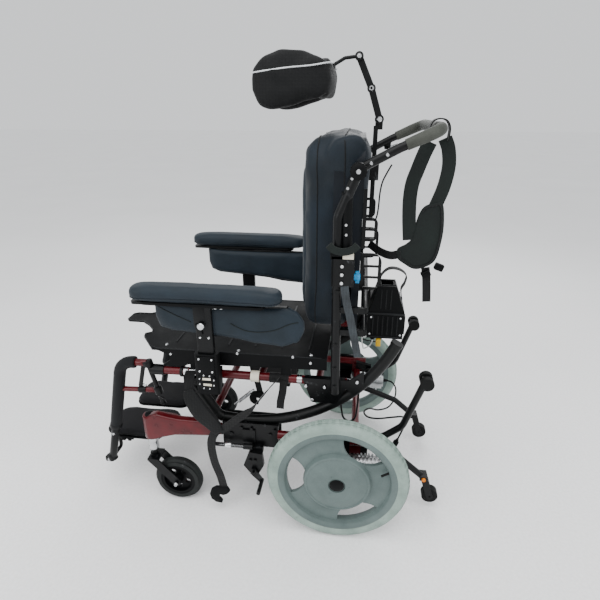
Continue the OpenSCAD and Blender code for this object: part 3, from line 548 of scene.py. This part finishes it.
# ---------- seat deck and back upholstery ----------
bm = bmesh.new()
rim = [(x, y, 537.5) for x, y in ((206, -60), (206, -300), (206, -540), (196, -566), (136, -610), (118, -615),
       (107, -598), (88, -604), (54, -632), (31, -662), (30, -706), (20, -720))]
for mirror in (1, -1):
    sweep(bm, [(x * mirror, y, z) for x, y, z in rounded_path(rim, 5)], 1.6, corners=8)
for y in (-500, -420, -340, -260, -180, -100):
    box(bm, (-160, y, 537), (160, y + 5, 538.6), 0.7)
show("deck_rim", bm, SATIN_ABS, "seat")
bm = bmesh.new()
for x, y in ((-190, -120), (-190, -150), (-180, -520), (180, -520), (190, -90), (190, -300), (-190, -300)):
    screw(bm, (x, y, 537), 5, (0, 0, 1), 2.4)
show("deck_screws", bm, ZINC_STEEL, "seat")

bm = bmesh.new()
slabs(bm, round_outline(0, 858, 350, 522, 66), -108, 8, "Y", 26, 5)
plate(bm, ((-60, 1090), (-34, 1121), (4, 1131), (28, 1127), (40, 1112), (42, 1075), (38, 1040), (36, 1000),
           (30, 960), (10, 940), (-60, 940)), -178, 178, 16, 4)
back_pad = inflated("back_cushion_cover", bm, NAVY_KNIT, "back", 6.5, 4, 9, ("back_cushion",),
                    wrinkle=2.2)
bm = bmesh.new()
for y, inset in ((-84, 2), (-14, 2)):
    seam = [(x, y, z) for x, z in round_outline(0, 858, 366 - 2 * inset, 536 - 2 * inset, 62)]
    seam = hugging(back_pad, seam)
    sweep(bm, seam + seam[:1], 1.5, side=(0, 1, 0), corners=8)
show("back_cushion_piping", bm, BLACK_WOVEN, "back")
bm = bmesh.new()
slabs(bm, round_outline(0, 845, 250, 420, 50), -121, -100, "Y", 8, 3)
inflated("back_cushion_panel", bm, SLATE_KNIT, "back", 6, 3, 6, wrinkle=1.5)

for side, word in SIDES:
    lift = RIGHT_ARM_LIFT if side < 0 else 0
    bm = bmesh.new()
    slabs(bm, round_outline(side * 254, -364, 72, 412, 32), 716 + lift, 752 + lift, "Z", 14, 4)
    arm_pad = inflated(f"arm_pad_cover_{word}", bm, SLATE_KNIT, f"armrest_{word}", 5, 3, 5,
             (f"arm_pad_{word}",), wrinkle=0.7)
    bm = bmesh.new()
    ring = hugging(arm_pad, [(x, y, 722 + lift) for x, y in round_outline(side * 254, -364, 80, 420, 34)])
    sweep(bm, ring + ring[:1], 1.3, corners=8)
    show(f"arm_pad_seam_{word}", bm, NAVY_KNIT, f"armrest_{word}")
    bm = bmesh.new()
    slabs(bm, round_outline(side * 254, -372, 58, 340, 20), 705 + lift, 714 + lift, "Z", 2)
    show(f"arm_pad_tray_{word}", bm, BLACK_ABS, f"armrest_{word}")
    # padded side guard under the arm pad
    bm = bmesh.new()
    guard = [(y, z + lift) for y, z in ((-514, 704), (-515, 658), (-506, 626), (-476, 613), (-401, 607),
        (-294, 598), (-241, 588), (-160, 582), (-116, 599), (-100, 636), (-101, 661), (-118, 688), (-146,
                704))]
    plate(bm, guard, side * 226, side * 248, 7, 3)
    guard_pad = inflated(f"side_guard_{word}", bm, SLATE_KNIT, f"armrest_{word}", 5, 3, 5,
            wrinkle=1.0)
    bm = bmesh.new()
    seam = curve_through([(side * 250, y, z + lift) for y, z in ((-300, 652), (-262, 634), (-220, 632),
            (-180, 640),
                                                                 (-140, 660), (-118, 664))], 4)
    sweep(bm, hugging(guard_pad, seam), 1.2, corners=8)
    low = curve_through([(side * 250, y, z + lift) for y, z in ((-500, 690), (-460, 672), (-410, 650))], 4)
    sweep(bm, hugging(guard_pad, low), 1.2, corners=8)
    show(f"side_guard_seams_{word}", bm, HARNESS_FELT, f"armrest_{word}")

# ---------- headrest ----------

WING = ((-250, 1270), (-232, 1296), (-180, 1313), (-130, 1313), (-84, 1298), (-64, 1276), (-62, 1222),
        (-84, 1206), (-150, 1188), (-205, 1176), (-240, 1188), (-254, 1222))
bm = bmesh.new()
for side, _ in SIDES:
    plate(bm, WING, side * 78, side * 122, 16, 4)
slabs(bm, round_outline(0, 1252, 236, 96, 40), -100, -60, "Y", 14, 4)
inflated("headrest_cover", bm, BLACK_WOVEN, "head_pad", 5, 4, 7, ("headrest_pad",),
         wrinkle=2.6)
bm = bmesh.new()
for side, _ in SIDES:
    line = [(side * x, y, z) for x, y, z in ((122, -246, 1262), (127, -215, 1266), (128.5, -160, 1272),
                                            (128, -105, 1276), (120, -66, 1282), (90, -56, 1284))]
    sweep(bm, curve_through(line), 2.0, corners=8)
show("headrest_piping", bm, SILVER_PIPING, "head_pad")
bm = bmesh.new()
turned(bm, (0, 6, 1306), ((0, 0.2), (10.5, 0.2), (11, 1), (11, 7.4), (10.2, 8), (0, 8)), 32)
sweep(bm, rounded_path(((4, 6, 1306), (4, -30, 1302), (4, -66, 1282)), 14), 4.5, corners=16)
box(bm, (-22, -60, 1246), (22, -54, 1290), 3)
show("headrest_stalk", bm, POWDER_BLACK, "head_pad")
bm = bmesh.new()
rod(bm, (-7, 6, 1306), (12, 6, 1306), 4)
screw(bm, (8, 6, 1306), 7, rise=3.5)
show("headrest_pivot_screw", bm, ZINC_STEEL, "head_pad")
for name, body, place in (("headrest_screw_low", "head_link_lower", (11, 66, 1156)),
                          ("headrest_screw_mid", "head_link_lower", (8, 41, 1231))):
    bm = bmesh.new()
    screw(bm, place, 7, rise=3)
    show(name, bm, ZINC_STEEL, body)

# ---------- footrests ----------

POST_X = 206
for side, word in SIDES:
    body = f"hanger_{word}"
    bm = bmesh.new()
    path = rounded_path(((side * POST_X, -612, 485), (side * POST_X, -660, 484), (side * POST_X, -710,
            252)), 46)
    sweep(bm, path, 18, corners=24)
    soften(bm, bm.verts, 3, 3, 60)
    show(f"hanger_foam_{word}", bm, DARK_FOAM, body, (f"hanger_{word}",))
    bm = bmesh.new()
    rod(bm, (side * POST_X, -707, 266), (side * POST_X, -742, 118), 12.5)
    rod(bm, (side * POST_X, -709, 258), (side * POST_X, -712, 243), 19, edge=2)
    box(bm, (side * POST_X - 9, -766, 104), (side * POST_X + 9, -738, 124), 4, 3)
    rod(bm, (side * POST_X, -746, 132), (side * POST_X, -740, 110), 14.5, edge=2)
    rod(bm, (side * POST_X, -572.6, 476), (side * POST_X, -576.8, 493), 15, edge=2)
    rod(bm, (side * POST_X, -555.4, 405), (side * POST_X, -549.6, 381), 12, edge=2)
    rod(bm, (side * POST_X, -614, 391), (side * POST_X, -590, 392), 11, edge=2)
    for k in range(5):
        rod(bm, (side * POST_X, -612 + 4.4 * k, 391), (side * POST_X, -610 + 4.4 * k, 391), 11.6)
    box(bm, (side * POST_X - 3, -604, 402), (side * POST_X + 3, -592, 484), 1,
        turn=Matrix.Rotation(math.radians(-14), 3, "X"))
    sweep(bm, rounded_path(((side * POST_X, -740, 122), (side * 152, -740, 122), (side * 152, -740, 156)),
            10),
          6, corners=16)
    rod(bm, (side * 152, -747, 156), (side * 152, -692, 156), 5)
    show(f"hanger_frame_{word}", bm, POWDER_BLACK, body)
    bm = bmesh.new()
    rod(bm, (side * POST_X, -618, 485), (side * POST_X, -576, 485), 11.2, edge=2)
    rod(bm, (side * POST_X, -680, 388), (side * POST_X, -560, 392.6), 8)
    show(f"hanger_brace_{word}", bm, CANDY_RED, body)
    bm = bmesh.new()
    screw(bm, (side * (POST_X + 3), -592, 410), 6, (side, 0, 0))
    screw(bm, (side * (POST_X + 12), -718, 222), 4.5, (side, 0, 0))
    screw(bm, (side * (POST_X + 9), -752, 114), 5.5, (side, 0, 0))
    show(f"hanger_screws_{word}", bm, ZINC_STEEL, body)

    body = f"footplate_{word}"
    centre = Vector((side * POST_X, -493))

    def clear_of_caster(points, reach):
        """Pushes outline points out of the circle that the caster stem needs."""
        found = []
        for p in points:
            q = Vector(p) - centre
            found.append(tuple(centre + q.normalized() * reach) if q.length < reach else p)
        return found

    bm = bmesh.new()
    slabs(bm, clear_of_caster(round_outline(side * 91, -664, 148, 202, 34, 6), 115), 166, 171, "Z", 1)
    for y in (-730, -710):
        box(bm, (side * 152 - 8, y, 149), (side * 152 + 8, y + 12, 167), 2)
    for y in (-730, -700, -640):
        box(bm, (side * 91 - 60, y, 162.5), (side * 91 + 48, y + 6, 167), 1)
    show(f"footplate_plate_{word}", bm, BLACK_ABS, body)
    reach = 22 if side > 0 else 0
    bm = bmesh.new()
    slabs(bm, clear_of_caster(round_outline(side * 91, -664 - reach / 2, 150, 204 + reach, 40, 6), 116),
          172.5, 187, "Z", 6, 3)
    foot_pad = inflated(f"footplate_pad_{word}", bm, FOOT_MESH, body, 4.5, 3, 4,
            (f"footplate_{word}",),
             wrinkle=1.2)
    bm = bmesh.new()
    hem = [(x, y, 177) for x, y in clear_of_caster(
        round_outline(side * 91, -664 - reach / 2, 157, 211 + reach, 42, 6), 112.5)]
    hem = hugging(foot_pad, hem, 0.3)
    sweep(bm, hem + hem[:1], 1.7, corners=8)
    show(f"footplate_binding_{word}", bm, BLACK_WOVEN, body)

# ---------- push handle ----------

HANDLE = ((201, 20, 1049), (201, 112, 1098), (201, 204, 1139), (-201, 204, 1139), (-201, 112, 1098),
          (-201, 20, 1049))
bm = bmesh.new()
sweep(bm, rounded_path(HANDLE, 34), 11, corners=20)
for side, _ in SIDES:
    turned(bm, (side * 201, 20, 1049), ((0, -10), (15, -10), (17, -8), (17, 8), (15, 10), (0, 10)), 32)
for s in (-1, 1):
    plate(bm, ((92, 1066), (110, 1066), (112, 1092), (90, 1086)), -201 + s * 7 - 2, -201 + s * 7 + 2, 1.5)
rod(bm, (-210, 101, 1073), (-192, 101, 1073), 3)
show("handle_tube", bm, POWDER_BLACK, "handle", ("push_handle",))
bm = bmesh.new()
grip = rounded_path(((201, 126, 1104.5), (201, 204, 1139), (-201, 204, 1139), (-201, 126, 1104.5)), 34)
sweep(bm, grip, 14.5, corners=24, swell=lambda t: 1.0 if 0.004 < t < 0.996 else 0.9)
show("handle_grip", bm, GREY_FOAM, "handle")
bm = bmesh.new()
for side, _ in SIDES:
    screws(bm, side, 212, 4.5, ((48, 1064), (84, 1083)))
show("handle_screws", bm, ZINC_STEEL, "handle")
bm = bmesh.new()
# toothed hub of the angle joint
for side, _ in SIDES:
    turned(bm, (side * 250, 20, 1049), ((0, -5), (17, -5), (19, -3), (19, 1), (15, 4), (8, 5), (0, 5)), 32)
    for k in range(12):
        a = math.radians(30 * k)
        rod(bm, (side * 247, 20 + 18.5 * math.cos(a), 1049 + 18.5 * math.sin(a)),
            (side * 252, 20 + 18.5 * math.cos(a), 1049 + 18.5 * math.sin(a)), 2)
show("handle_joint_hubs", bm, BLACK_ABS, "back")
bm = bmesh.new()
for side, _ in SIDES:
    screw(bm, (side * 254, 20, 1049), 6.5, (side, 0, 0))
show("handle_joint_screws", bm, ZINC_STEEL, "back")

# ---------- harness hung on the handle ----------

bm = bmesh.new()
pad_edge = [(p.y, p.z) for p in curve_through([(0, y, z) for y, z in (
    (168, 890), (174, 926), (187, 952), (210, 962), (232, 962), (241, 906), (238, 852), (228, 812),
    (204, 793), (176, 787), (150, 800), (131, 815), (129, 840), (150, 854), (163, 868), (168, 890))], 4)][:-1]
plate(bm, pad_edge, 129, 141, 5, 3)
show("harness_pad", bm, HARNESS_FELT, "harness", ("harness",))
bm = bmesh.new()
sweep(bm, curve_through([(142.5, y, z) for y, z in ((183, 940), (194, 952), (212, 956), (226, 956),
      (234, 905), (231, 854), (222, 818), (202, 800), (176, 795), (154, 807), (138, 818), (136,
              836))], 5), 1.6, corners=8)
sweep(bm, curve_through(((135, 134, 826), (128, 112, 820), (112, 84, 826), (96, 56, 842))), 22, 3,
      side=(0, 0, 1))
sweep(bm, curve_through(((135, 206, 792), (136, 211, 765), (137, 215, 728), (137, 218, 696))), 22, 2.4,
      side=(0, 1, 0))
show("harness_edge", bm, WEBBING_BLACK, "harness")
bm = bmesh.new()
sweep(bm, curve_through(((135, 186, 1108), (135, 174, 1078), (135, 163, 1044), (135, 153, 1010),
                         (135, 150, 972), (135, 152, 926), (135, 158, 866))), 34, 7, side=(0, 1, 0))
sweep(bm, curve_through(((135, 220, 1116), (135, 231, 1090), (135, 236, 1050), (135, 229, 1000),
                         (135, 213, 950))), 32, 7, side=(0, 1, 0))
show("harness_straps", bm, HARNESS_FELT, "harness")
bm = bmesh.new()
sweep(bm, curve_through(((135, 182, 1108), (135, 181, 1136), (135, 188, 1154), (135, 204, 1160),
                         (135, 220, 1155), (135, 228, 1138), (135, 226, 1110))), 25, 3, side=(1, 0, 0))
show("harness_loop", bm, WEBBING_BLACK, "harness")
bm = bmesh.new()
for y, z, turn in ((240, 796, -20), (208, 776, 30)):
    box(bm, (131, y - 12, z - 9), (147, y + 12, z + 9), 3, 3, turn=Matrix.Rotation(math.radians(turn), 3,
            "X"))
    box(bm, (147, y - 7, z - 4), (149, y + 7, z + 4), 0.8, 2, turn=Matrix.Rotation(math.radians(turn), 3,
            "X"))
show("harness_buckles", bm, BLACK_ABS, "harness")

# ---------- hip belts ----------

for side, word in SIDES:
    bm = bmesh.new()
    over = [(side * x, y, z) for x, y, z in ((214, -440, 474), (238, -438, 462), (258, -432, 438),
                                            (266, -424, 420))]
    sweep(bm, curve_through(over), 30, 3, side=(0, 1, 0))
    tail = [(side * x, y, z) for x, y, z in ((266, -350, 318), (267, -370, 290), (267, -378, 250),
                                            (266, -372, 190), (266, -358, 140), (266, -350, 96))]
    sweep(bm, curve_through(tail), 25, 2.6, side=(0, 1, 0))
    cross = [(side * x, y, z) for x, y, z in ((222, -176, 478), (246, -206, 448), (262, -252, 392),
                                             (266, -300, 350), (267, -350, 306))]
    sweep(bm, curve_through(cross), 24, 2.6, side=(0, 0.6, 0.8))
    wrap = [(side * 200, y, 462) for y in (-208, -180, -152)]
    sweep(bm, wrap, 15, corners=20)
    end = [(side * x, y, z) for x, y, z in ((216, -166, 462), (220, -168, 430), (222, -174, 398),
                                           (221, -176, 372))]
    sweep(bm, curve_through(end), 22, 2.4, side=(0, 1, 0))
    show(f"belt_webbing_{word}", bm, WEBBING_BLACK, "seat",
            ("positioning_belt",) if side > 0 else ())
    bm = bmesh.new()
    pad = [(side * x, y, z) for x, y, z in ((264, -432, 440), (268, -420, 408), (269, -398, 370),
                                           (268, -372, 338), (267, -350, 304))]
    sweep(bm, curve_through(pad), 44, 11, side=(0, 1, 0), swell=lambda t: 0.72 + 0.5 * math.sin(math.pi * t))
    soften(bm, bm.verts, 3, 3, 60)
    show(f"belt_pad_{word}", bm, BLACK_WOVEN, "seat")
    bm = bmesh.new()
    claw = ((-338, 100), (-330, 84), (-340, 72), (-352, 66), (-364, 68), (-366, 56), (-356, 44), (-358, 34),
            (-378, 36), (-392, 48), (-396, 66), (-390, 86), (-374, 98), (-356, 98))
    plate(bm, claw, side * 266 - 5, side * 266 + 5, 2.5, 3)
    for k in range(4):
        box(bm, (side * 270.5 - 1, -386, 50 + 9 * k), (side * 270.5 + 1, -371, 53 + 9 * k), 0.5, 1)
    show(f"belt_buckle_{word}", bm, BLACK_ABS, "seat")

# ---------- wheels ----------

TREAD_STEPS = 132
for side, word in SIDES:
    bm = bmesh.new()
    hollow = 172.4
    section = [(hollow, 13), (168.5, 18)]
    section += [(183 + 20 * math.cos(math.radians(a)), 20 * math.sin(math.radians(a)))
                for a in (115, 95, 75, 58, 46)]
    section += [(199.2, 10.5), (198.4, 9.8), (198.4, 8.8), (201.0, 8.0), (202.2, 4.2), (201.2, 3.6),
                (201.2, 2.8), (202.9, 2.0)]
    section += [(r, -x) for r, x in section[::-1]]
    turned(bm, (side * 302, 0, 203), section + section[:1], TREAD_STEPS)
    hub = at(side * 302, 0, 203)
    blocks = []
    for f in bm.faces:
        c = f.calc_center_median() - hub
        reach = math.hypot(c.y, c.z) / MM
        part = math.degrees(math.atan2(c.z, c.y)) % 360 / 360 * TREAD_STEPS
        if reach > 196 and int(part) % 2 == 0:
            blocks.append(f)
    bmesh.ops.inset_individual(bm, faces=blocks, thickness=0.4 * MM, depth=-1.1 * MM)
    show(f"tyre_tread_{word}", bm, GREY_RUBBER, f"rear_wheel_{word}", (f"tyre_{word}",), 30)
    bm = bmesh.new()
    turned(bm, (side * 327, 0, 203), [(0, side * 4.5), (10, side * 4), (17, side * 2.6), (21, side * 0.2),
                                      (22.4, side * -1.5), (22.4, side * -6), (0, side * -6)], 40)
    show(f"hub_cap_{word}", bm, BLACK_ABS, f"rear_wheel_{word}")
    bm = bmesh.new()
    turned(bm, (side * 302, 0, 203), [(r, side * x) for r, x in ((86, 21.2), (90, 21.8), (93, 20.0), (95.5,
            12),
                                                                 (97, 8.4), (92, 8.2), (86, 19), (86,
                                                                         21.2))], 72)
    turned(bm, (side * 302, 0, 203), [(r, side * x) for r, x in ((152, 15.6), (156, 18.4), (166, 19.2),
                                                                 (171.6, 17.4), (171.6, 15), (152,
                                                                         14), (152, 15.6))], 96)
    for k in range(3):
        a = math.radians(118 + 120 * k)
        screw(bm, (side * 327, 34 * math.cos(a), 203 + 34 * math.sin(a)), 4, (side, 0, 0), 1.5)
    show(f"wheel_rim_beads_{word}", bm, SILVER_NYLON, f"rear_wheel_{word}")
    bm = bmesh.new()
    a = math.radians(20)
    rod(bm, (side * 316, 150 * math.cos(a), 203 + 150 * math.sin(a)),
        (side * 322, 128 * math.cos(a), 203 + 128 * math.sin(a)), 3.2)
    show(f"tyre_valve_{word}", bm, BLACK_RUBBER, f"rear_wheel_{word}")
    # casters
    bm = bmesh.new()
    for s in (-1, 1):
        screw(bm, (side * 222 + s * 34.5, -511, 77), 6.5, (s, 0, 0), 4)
    show(f"caster_axle_nuts_{word}", bm, ZINC_STEEL, f"caster_{word}")
    bm = bmesh.new()
    turned(bm, (side * 222, -583, 0), ((10.2, 188), (14.6, 188), (15.2, 190), (15.2, 198), (14.4, 200),
                                       (14.4, 214), (15.4, 216), (15.4, 230), (14, 232), (10.2,
                                               232)), 32, "Z")
    show(f"caster_stem_{word}", bm, ZINC_STEEL, f"fork_{word}")

# ---------- caster arms ----------

ARM = ((-352, 302), (-392, 315), (-420, 317), (-480, 317), (-520, 322), (-556, 330), (-576, 322),
       (-591, 310), (-594, 298), (-593, 240), (-583, 236), (-566, 235), (-544, 245), (-500, 259),
       (-430, 265), (-385, 268), (-352, 276), (-342, 290))
bm = bmesh.new()
for side, _ in SIDES:
    plate(bm, ARM, side * 217.5, side * 244, 6, 4)
    plate(bm, ((-500, 308), (-520, 311), (-556, 314), (-583, 308), (-593, 300), (-593, 240),
               (-583, 236), (-566, 235), (-544, 245), (-500, 259)), side * 200, side * 226, 5, 4)
    rod(bm, (side * 222, -583, 234), (side * 222, -583, 314), 22, edge=3)
rod(bm, (-220, -402, 290), (220, -402, 290), 12)
show("caster_arms_lacquered", bm, CANDY_RED, "base", ("caster_arms",))
bm = bmesh.new()
for side, _ in SIDES:
    turned(bm, (side * 222, -583, 0), ((0, 322), (9, 321.4), (13, 319.5), (15, 316), (15, 311), (0, 311)),
            32, "Z")
    turned(bm, (side * 222, -583, 0), ((10.4, 233.4), (20, 233.4), (21, 236), (10.4, 236)), 32, "Z")
show("stem_caps", bm, BLACK_ABS, "base")

# ---------- armrest posts ----------

for side, word in SIDES:
    body = f"armrest_{word}"
    lift = RIGHT_ARM_LIFT if side < 0 else 0
    bm = bmesh.new()
    for y, z in ((-396, 690), (-350, 690)):
        screw(bm, (side * 248, y, z + lift), 5, (side, 0, 0))
    turned(bm, (side * 270, -376, 648 + lift), [(0, side * 9), (8, side * 8.4), (10, side * 6), (10,
            side * -1),
                                         (7, side * -3), (0, side * -3)], 28)
    for y, z, r in ((-384, 520, 3.5), (-384, 600, 3.5), (-360, 520, 3.5), (-360, 600, 3.5)):
        screw(bm, (side * 264, y, z + 10 + lift), r, (side, 0, 0), 1.6)
    show(f"armrest_screws_{word}", bm, ZINC_STEEL, body)
    bm = bmesh.new()
    for dy in (0, -16):
        arc = [(side * 249, y + dy, z + lift) for y, z in ((-402, 642), (-372, 652), (-344, 668), (-322,
                694))]
        sweep(bm, curve_through(arc), 5, 2.2, side=(0, 0, 1))
    show(f"armrest_stay_{word}", bm, ZINC_STEEL, body)
    bm = bmesh.new()
    box(bm, (side * 262 - 3, -398, 640 + lift), (side * 262 + 3, -366, 700 + lift), 2)
    box(bm, (side * 266 - 3, -392, 618 + lift), (side * 266 + 3, -378, 652 + lift), 2,
        turn=Matrix.Rotation(math.radians(16), 3, "X"))
    show(f"armrest_bracket_{word}", bm, POWDER_BLACK, body)

# ---------- armrest sockets, rails and brackets of the seat ----------

for side, word in SIDES:
    bm = bmesh.new()
    ring = ((side * 271.5, -372, 478), (side * 275, -372, 478))
    rod(bm, ring[0], ring[1], 28, edge=2, round_over=40)
    box(bm, (side * 272 - 2.5, -397, 498), (side * 272 + 2.5, -347, 556), 2.4, 3)
    show(f"socket_cover_{word}", bm, BLACK_ABS, "seat")
    bm = bmesh.new()
    for k in range(8):
        a = math.radians(45 * k + 20)
        screw(bm, (side * 275, -372 + 22 * math.cos(a), 478 + 22 * math.sin(a)), 2.6, (side, 0, 0), 1.4)
    screws(bm, side, 274.5, 3.4, ((-390, 549), (-354, 549), (-390, 511), (-354, 511)), 1.6)
    screws(bm, side, 222.5, 5.2, ((-101, 455), (-48, 455), (-83, 410), (42, 478)), 2.2)
    screws(bm, side, 206, 4.5, ((-500, 520), (-300, 536), (-140, 536), (-90, 520)), 2)
    show(f"seat_screws_{word}", bm, ZINC_STEEL, "seat")
    bm = bmesh.new()
    box(bm, (side * 274.8 - 0.6, -384, 484), (side * 274.8 + 0.6, -360, 491), 0.3, 1)
    box(bm, (side * 274.8 - 0.6, -382, 466), (side * 274.8 + 0.6, -358, 473), 0.3, 1)
    sweep(bm, [(side * 200, y, 462) for y in (-263, -250, -238)], 16.5, corners=24)
    show(f"blank_labels_{word}", bm, CREAM_FILM, "seat")
    bm = bmesh.new()
    for a, b in ((-465, -452), (-448, -428), (-128, -114)):
        sweep(bm, [(side * 200, y, 462) for y in (a, (a + b) / 2, b)], 13.3, corners=24)
    sweep(bm, [(side * 200, y, 462) for y in (10, 18, 26)], 11, corners=24)
    show(f"rail_sleeves_{word}", bm, ZINC_STEEL, "seat")
    bm = bmesh.new()
    turns = [(side * 158 + 7 * math.cos(0.9 * k), -317 + 38 * k / 70,
            341 + 35 * k / 70 + 7 * math.sin(0.9 * k))
             for k in range(71)]
    sweep(bm, turns, 1.3, corners=6)
    rod(bm, (side * 158, -331, 328), (side * 158, -268, 388), 3)
    show(f"tilt_spring_{word}", bm, ZINC_STEEL, "seat")
# ---------- electronics case behind the back ----------

bm = bmesh.new()
mouth = rounded_path([(60, 92, 718), (38, 92, 718), (38, 138, 718), (82, 138, 718), (82, 92, 718), (60, 92,
        718)], 5)
sweep(bm, mouth, 2.2, corners=10)
plate(bm, [(y, z) for y, z in ((62, 630), (170, 630), (170, 637), (62, 637))], 91.5, 94.5, 1.2)
plate(bm, ((66, 556), (166, 556), (166, 561), (66, 561)), 91.5, 93.5, 0.8)
for y in (78, 92, 106, 120, 134, 148):
    box(bm, (91.5, y, 566), (94, y + 3.5, 626), 1)
for y in (98, 112, 126):
    box(bm, (91.5, y, 648), (93.4, y + 3, 708), 0.8)
for x in (-70, -44, -18, 8):
    box(bm, (x, 167, 570), (x + 6, 170.5, 622), 1)
show("case_ribs", bm, SATIN_ABS, "back")
bm = bmesh.new()
for x, y, low in ((-60, 84, 519), (20, 84, 519), (-20, 120, 525)):
    turned(bm, (x, y, 0), ((3.2, low - 4), (6.5, low - 4), (8.4, low), (8.4, low + 8), (11, low + 10),
                           (11, low + 20), (9, low + 22), (9, 553.4), (3.2, 553.4)), 6, "Z")
show("case_glands", bm, BLACK_ABS, "back", smooth=20)
bm = bmesh.new()
for y, z in ((74, 622), (158, 622), (72, 568), (160, 568)):
    screw(bm, (92.3, y, z), 3.6, (1, 0, 0), 2)
show("case_screws", bm, ZINC_STEEL, "back")
bm = bmesh.new()
sweep(bm, curve_through(((60, 95, 700), (60, 94, 722), (60, 98, 744), (60, 118, 762), (60, 146, 760),
                         (60, 166, 744), (60, 164, 722), (60, 155, 700), (60, 160,
                                 672))), 22, 2.4, side=(1, 0, 0))
show("case_strap", bm, WEBBING_BLACK, "back")
bm = bmesh.new()
box(bm, (86, 92, 530), (100, 106, 552), 2, 3)
show("case_connector", bm, YELLOW_NYLON, "back")

# the case's wires, from its glands up to the tie tube behind the shell
for k, (x, y, low) in enumerate(((-60, 84, 515), (20, 84, 515), (-20, 120, 521))):
    hang = [(x, y, low + 3), (x, y, low - 8), (x + 6, y - 8, low - 22), (x + 16, y - 24, low - 27),
            (x + 24, 58 - 2 * k, low - 16), (x + 26, 52, low + 8), (x + 26, 50, low + 60), (x + 26, 52, 626)]
    wire, spots, long = lead(f"case_wire_{k + 1}", hang, 4, "back", WHITE_PVC if k < 2 else BLACK_PVC)

release, spots, long = lead("release_cable", ((196, 96, 1060), (193, 86, 1040), (189, 77, 1018), (184, 73,
        990),
                                              (180, 72, 960), (174, 70, 936), (164, 66,
                                                      918)), 4, "back", BLACK_PVC)

# ---------- fittings on the canes ----------

for side, word in SIDES:
    bm = bmesh.new()
    plate(bm, ((-40, 838), (20, 838), (20, 858), (-40, 858)), side * 232, side * 247, 2)
    box(bm, (side * 238, -36, 770), (side * 250, -32, 840), 1)
    sweep(bm, [(side * 229.4, y, z) for y, z in ((0, 861), (-3, 930), (-4, 1000))], 13.6, corners=20)
    show(f"cane_collar_{word}", bm, BLACK_ABS, "back")
    bm = bmesh.new()
    box(bm, (side * 247 - 0.5, -9, 840.5), (side * 247 + 0.7, 18, 855.5), 0.3, 1)
    show(f"cane_label_{word}", bm, CREAM_FILM, "back")
    bm = bmesh.new()
    screws(bm, side, 250.8, 4.6, ((-10, 778), (-10, 800), (-10, 822)), 1.6)
    screws(bm, side, 242.6, 4, ((-3, 900), (-4, 924), (-3, 1010), (6, 1032)), 2.2)
    show(f"cane_screws_{word}", bm, ZINC_STEEL, "back")
    bm = bmesh.new()
    sweep(bm, curve_through([(side * 251, y, z) for y, z in ((-44, 876), (-30, 864), (-8, 860), (14, 866),
                                                             (26, 878))]), 18, 5, side=(0, 0, 1))
    show(f"side_cup_{word}", bm, HARNESS_FELT, "back")
    bm = bmesh.new()
    sweep(bm, curve_through([(side * 246, y, z) for y, z in ((-2, 770), (4, 730), (14, 690), (24, 645),
                                                             (34, 600), (40, 572))]), 20, 2.2, side=(0, 1, 0))
    show(f"back_strap_{word}", bm, WEBBING_GREY, "back")
    bm = bmesh.new()
    rod(bm, (side * 250, -378, 247), (side * 250, -284, 247), 6)
    turned(bm, (side * 250, -330, 247), ((0, -9), (9, -9), (10, -7), (10, 7), (9, 9), (0, 9)), 24, "Y")
    show(f"lock_rod_{word}", bm, ZINC_STEEL, "base")



# ---------- floor and light ----------

bm = bmesh.new()
bmesh.ops.create_grid(bm, x_segments=1, y_segments=1, size=30)
floor_mesh = bpy.data.meshes.new("floor")
bm.to_mesh(floor_mesh)
bm.free()
floor = bpy.data.objects.new("floor", floor_mesh)
SCENE.collection.objects.link(floor)
# Painted studio floor, matt white.
floor_mesh.materials.append(finish_of("matt_floor_paint", "#fafafa", "#ffffff", 0.9, patch=900, grain=9,
                                      depth=0.05, specular=0.2))

world = bpy.data.worlds.new("studio")
SCENE.world = world
world.use_nodes = True
world.node_tree.nodes["Background"].inputs[0].default_value = linear("#f4f6f8")
world.node_tree.nodes["Background"].inputs[1].default_value = 1.1


def lamp(name, place, aim, size, power):
    """Soft square lamp at a place, aimed at a point."""
    data = bpy.data.lights.new(name, "AREA")
    data.shape = "SQUARE"
    data.size = size
    data.energy = power
    made = bpy.data.objects.new(name, data)
    SCENE.collection.objects.link(made)
    made.location = place
    made.rotation_mode = "QUATERNION"
    made.rotation_quaternion = (Vector(aim) - Vector(place)).to_track_quat("-Z", "Y")


lamp("lamp_over", (1.2, -0.2, 3.0), (0, 0, 0.5), 2.4, 62)
lamp("lamp_front", (2.6, -2.2, 1.7), (0, 0, 0.6), 1.6, 34)
lamp("lamp_rear", (1.2, 2.8, 2.0), (0, 0.1, 0.6), 1.6, 26)
lamp("lamp_far", (-2.6, 0.4, 2.4), (0, 0, 0.7), 1.6, 28)
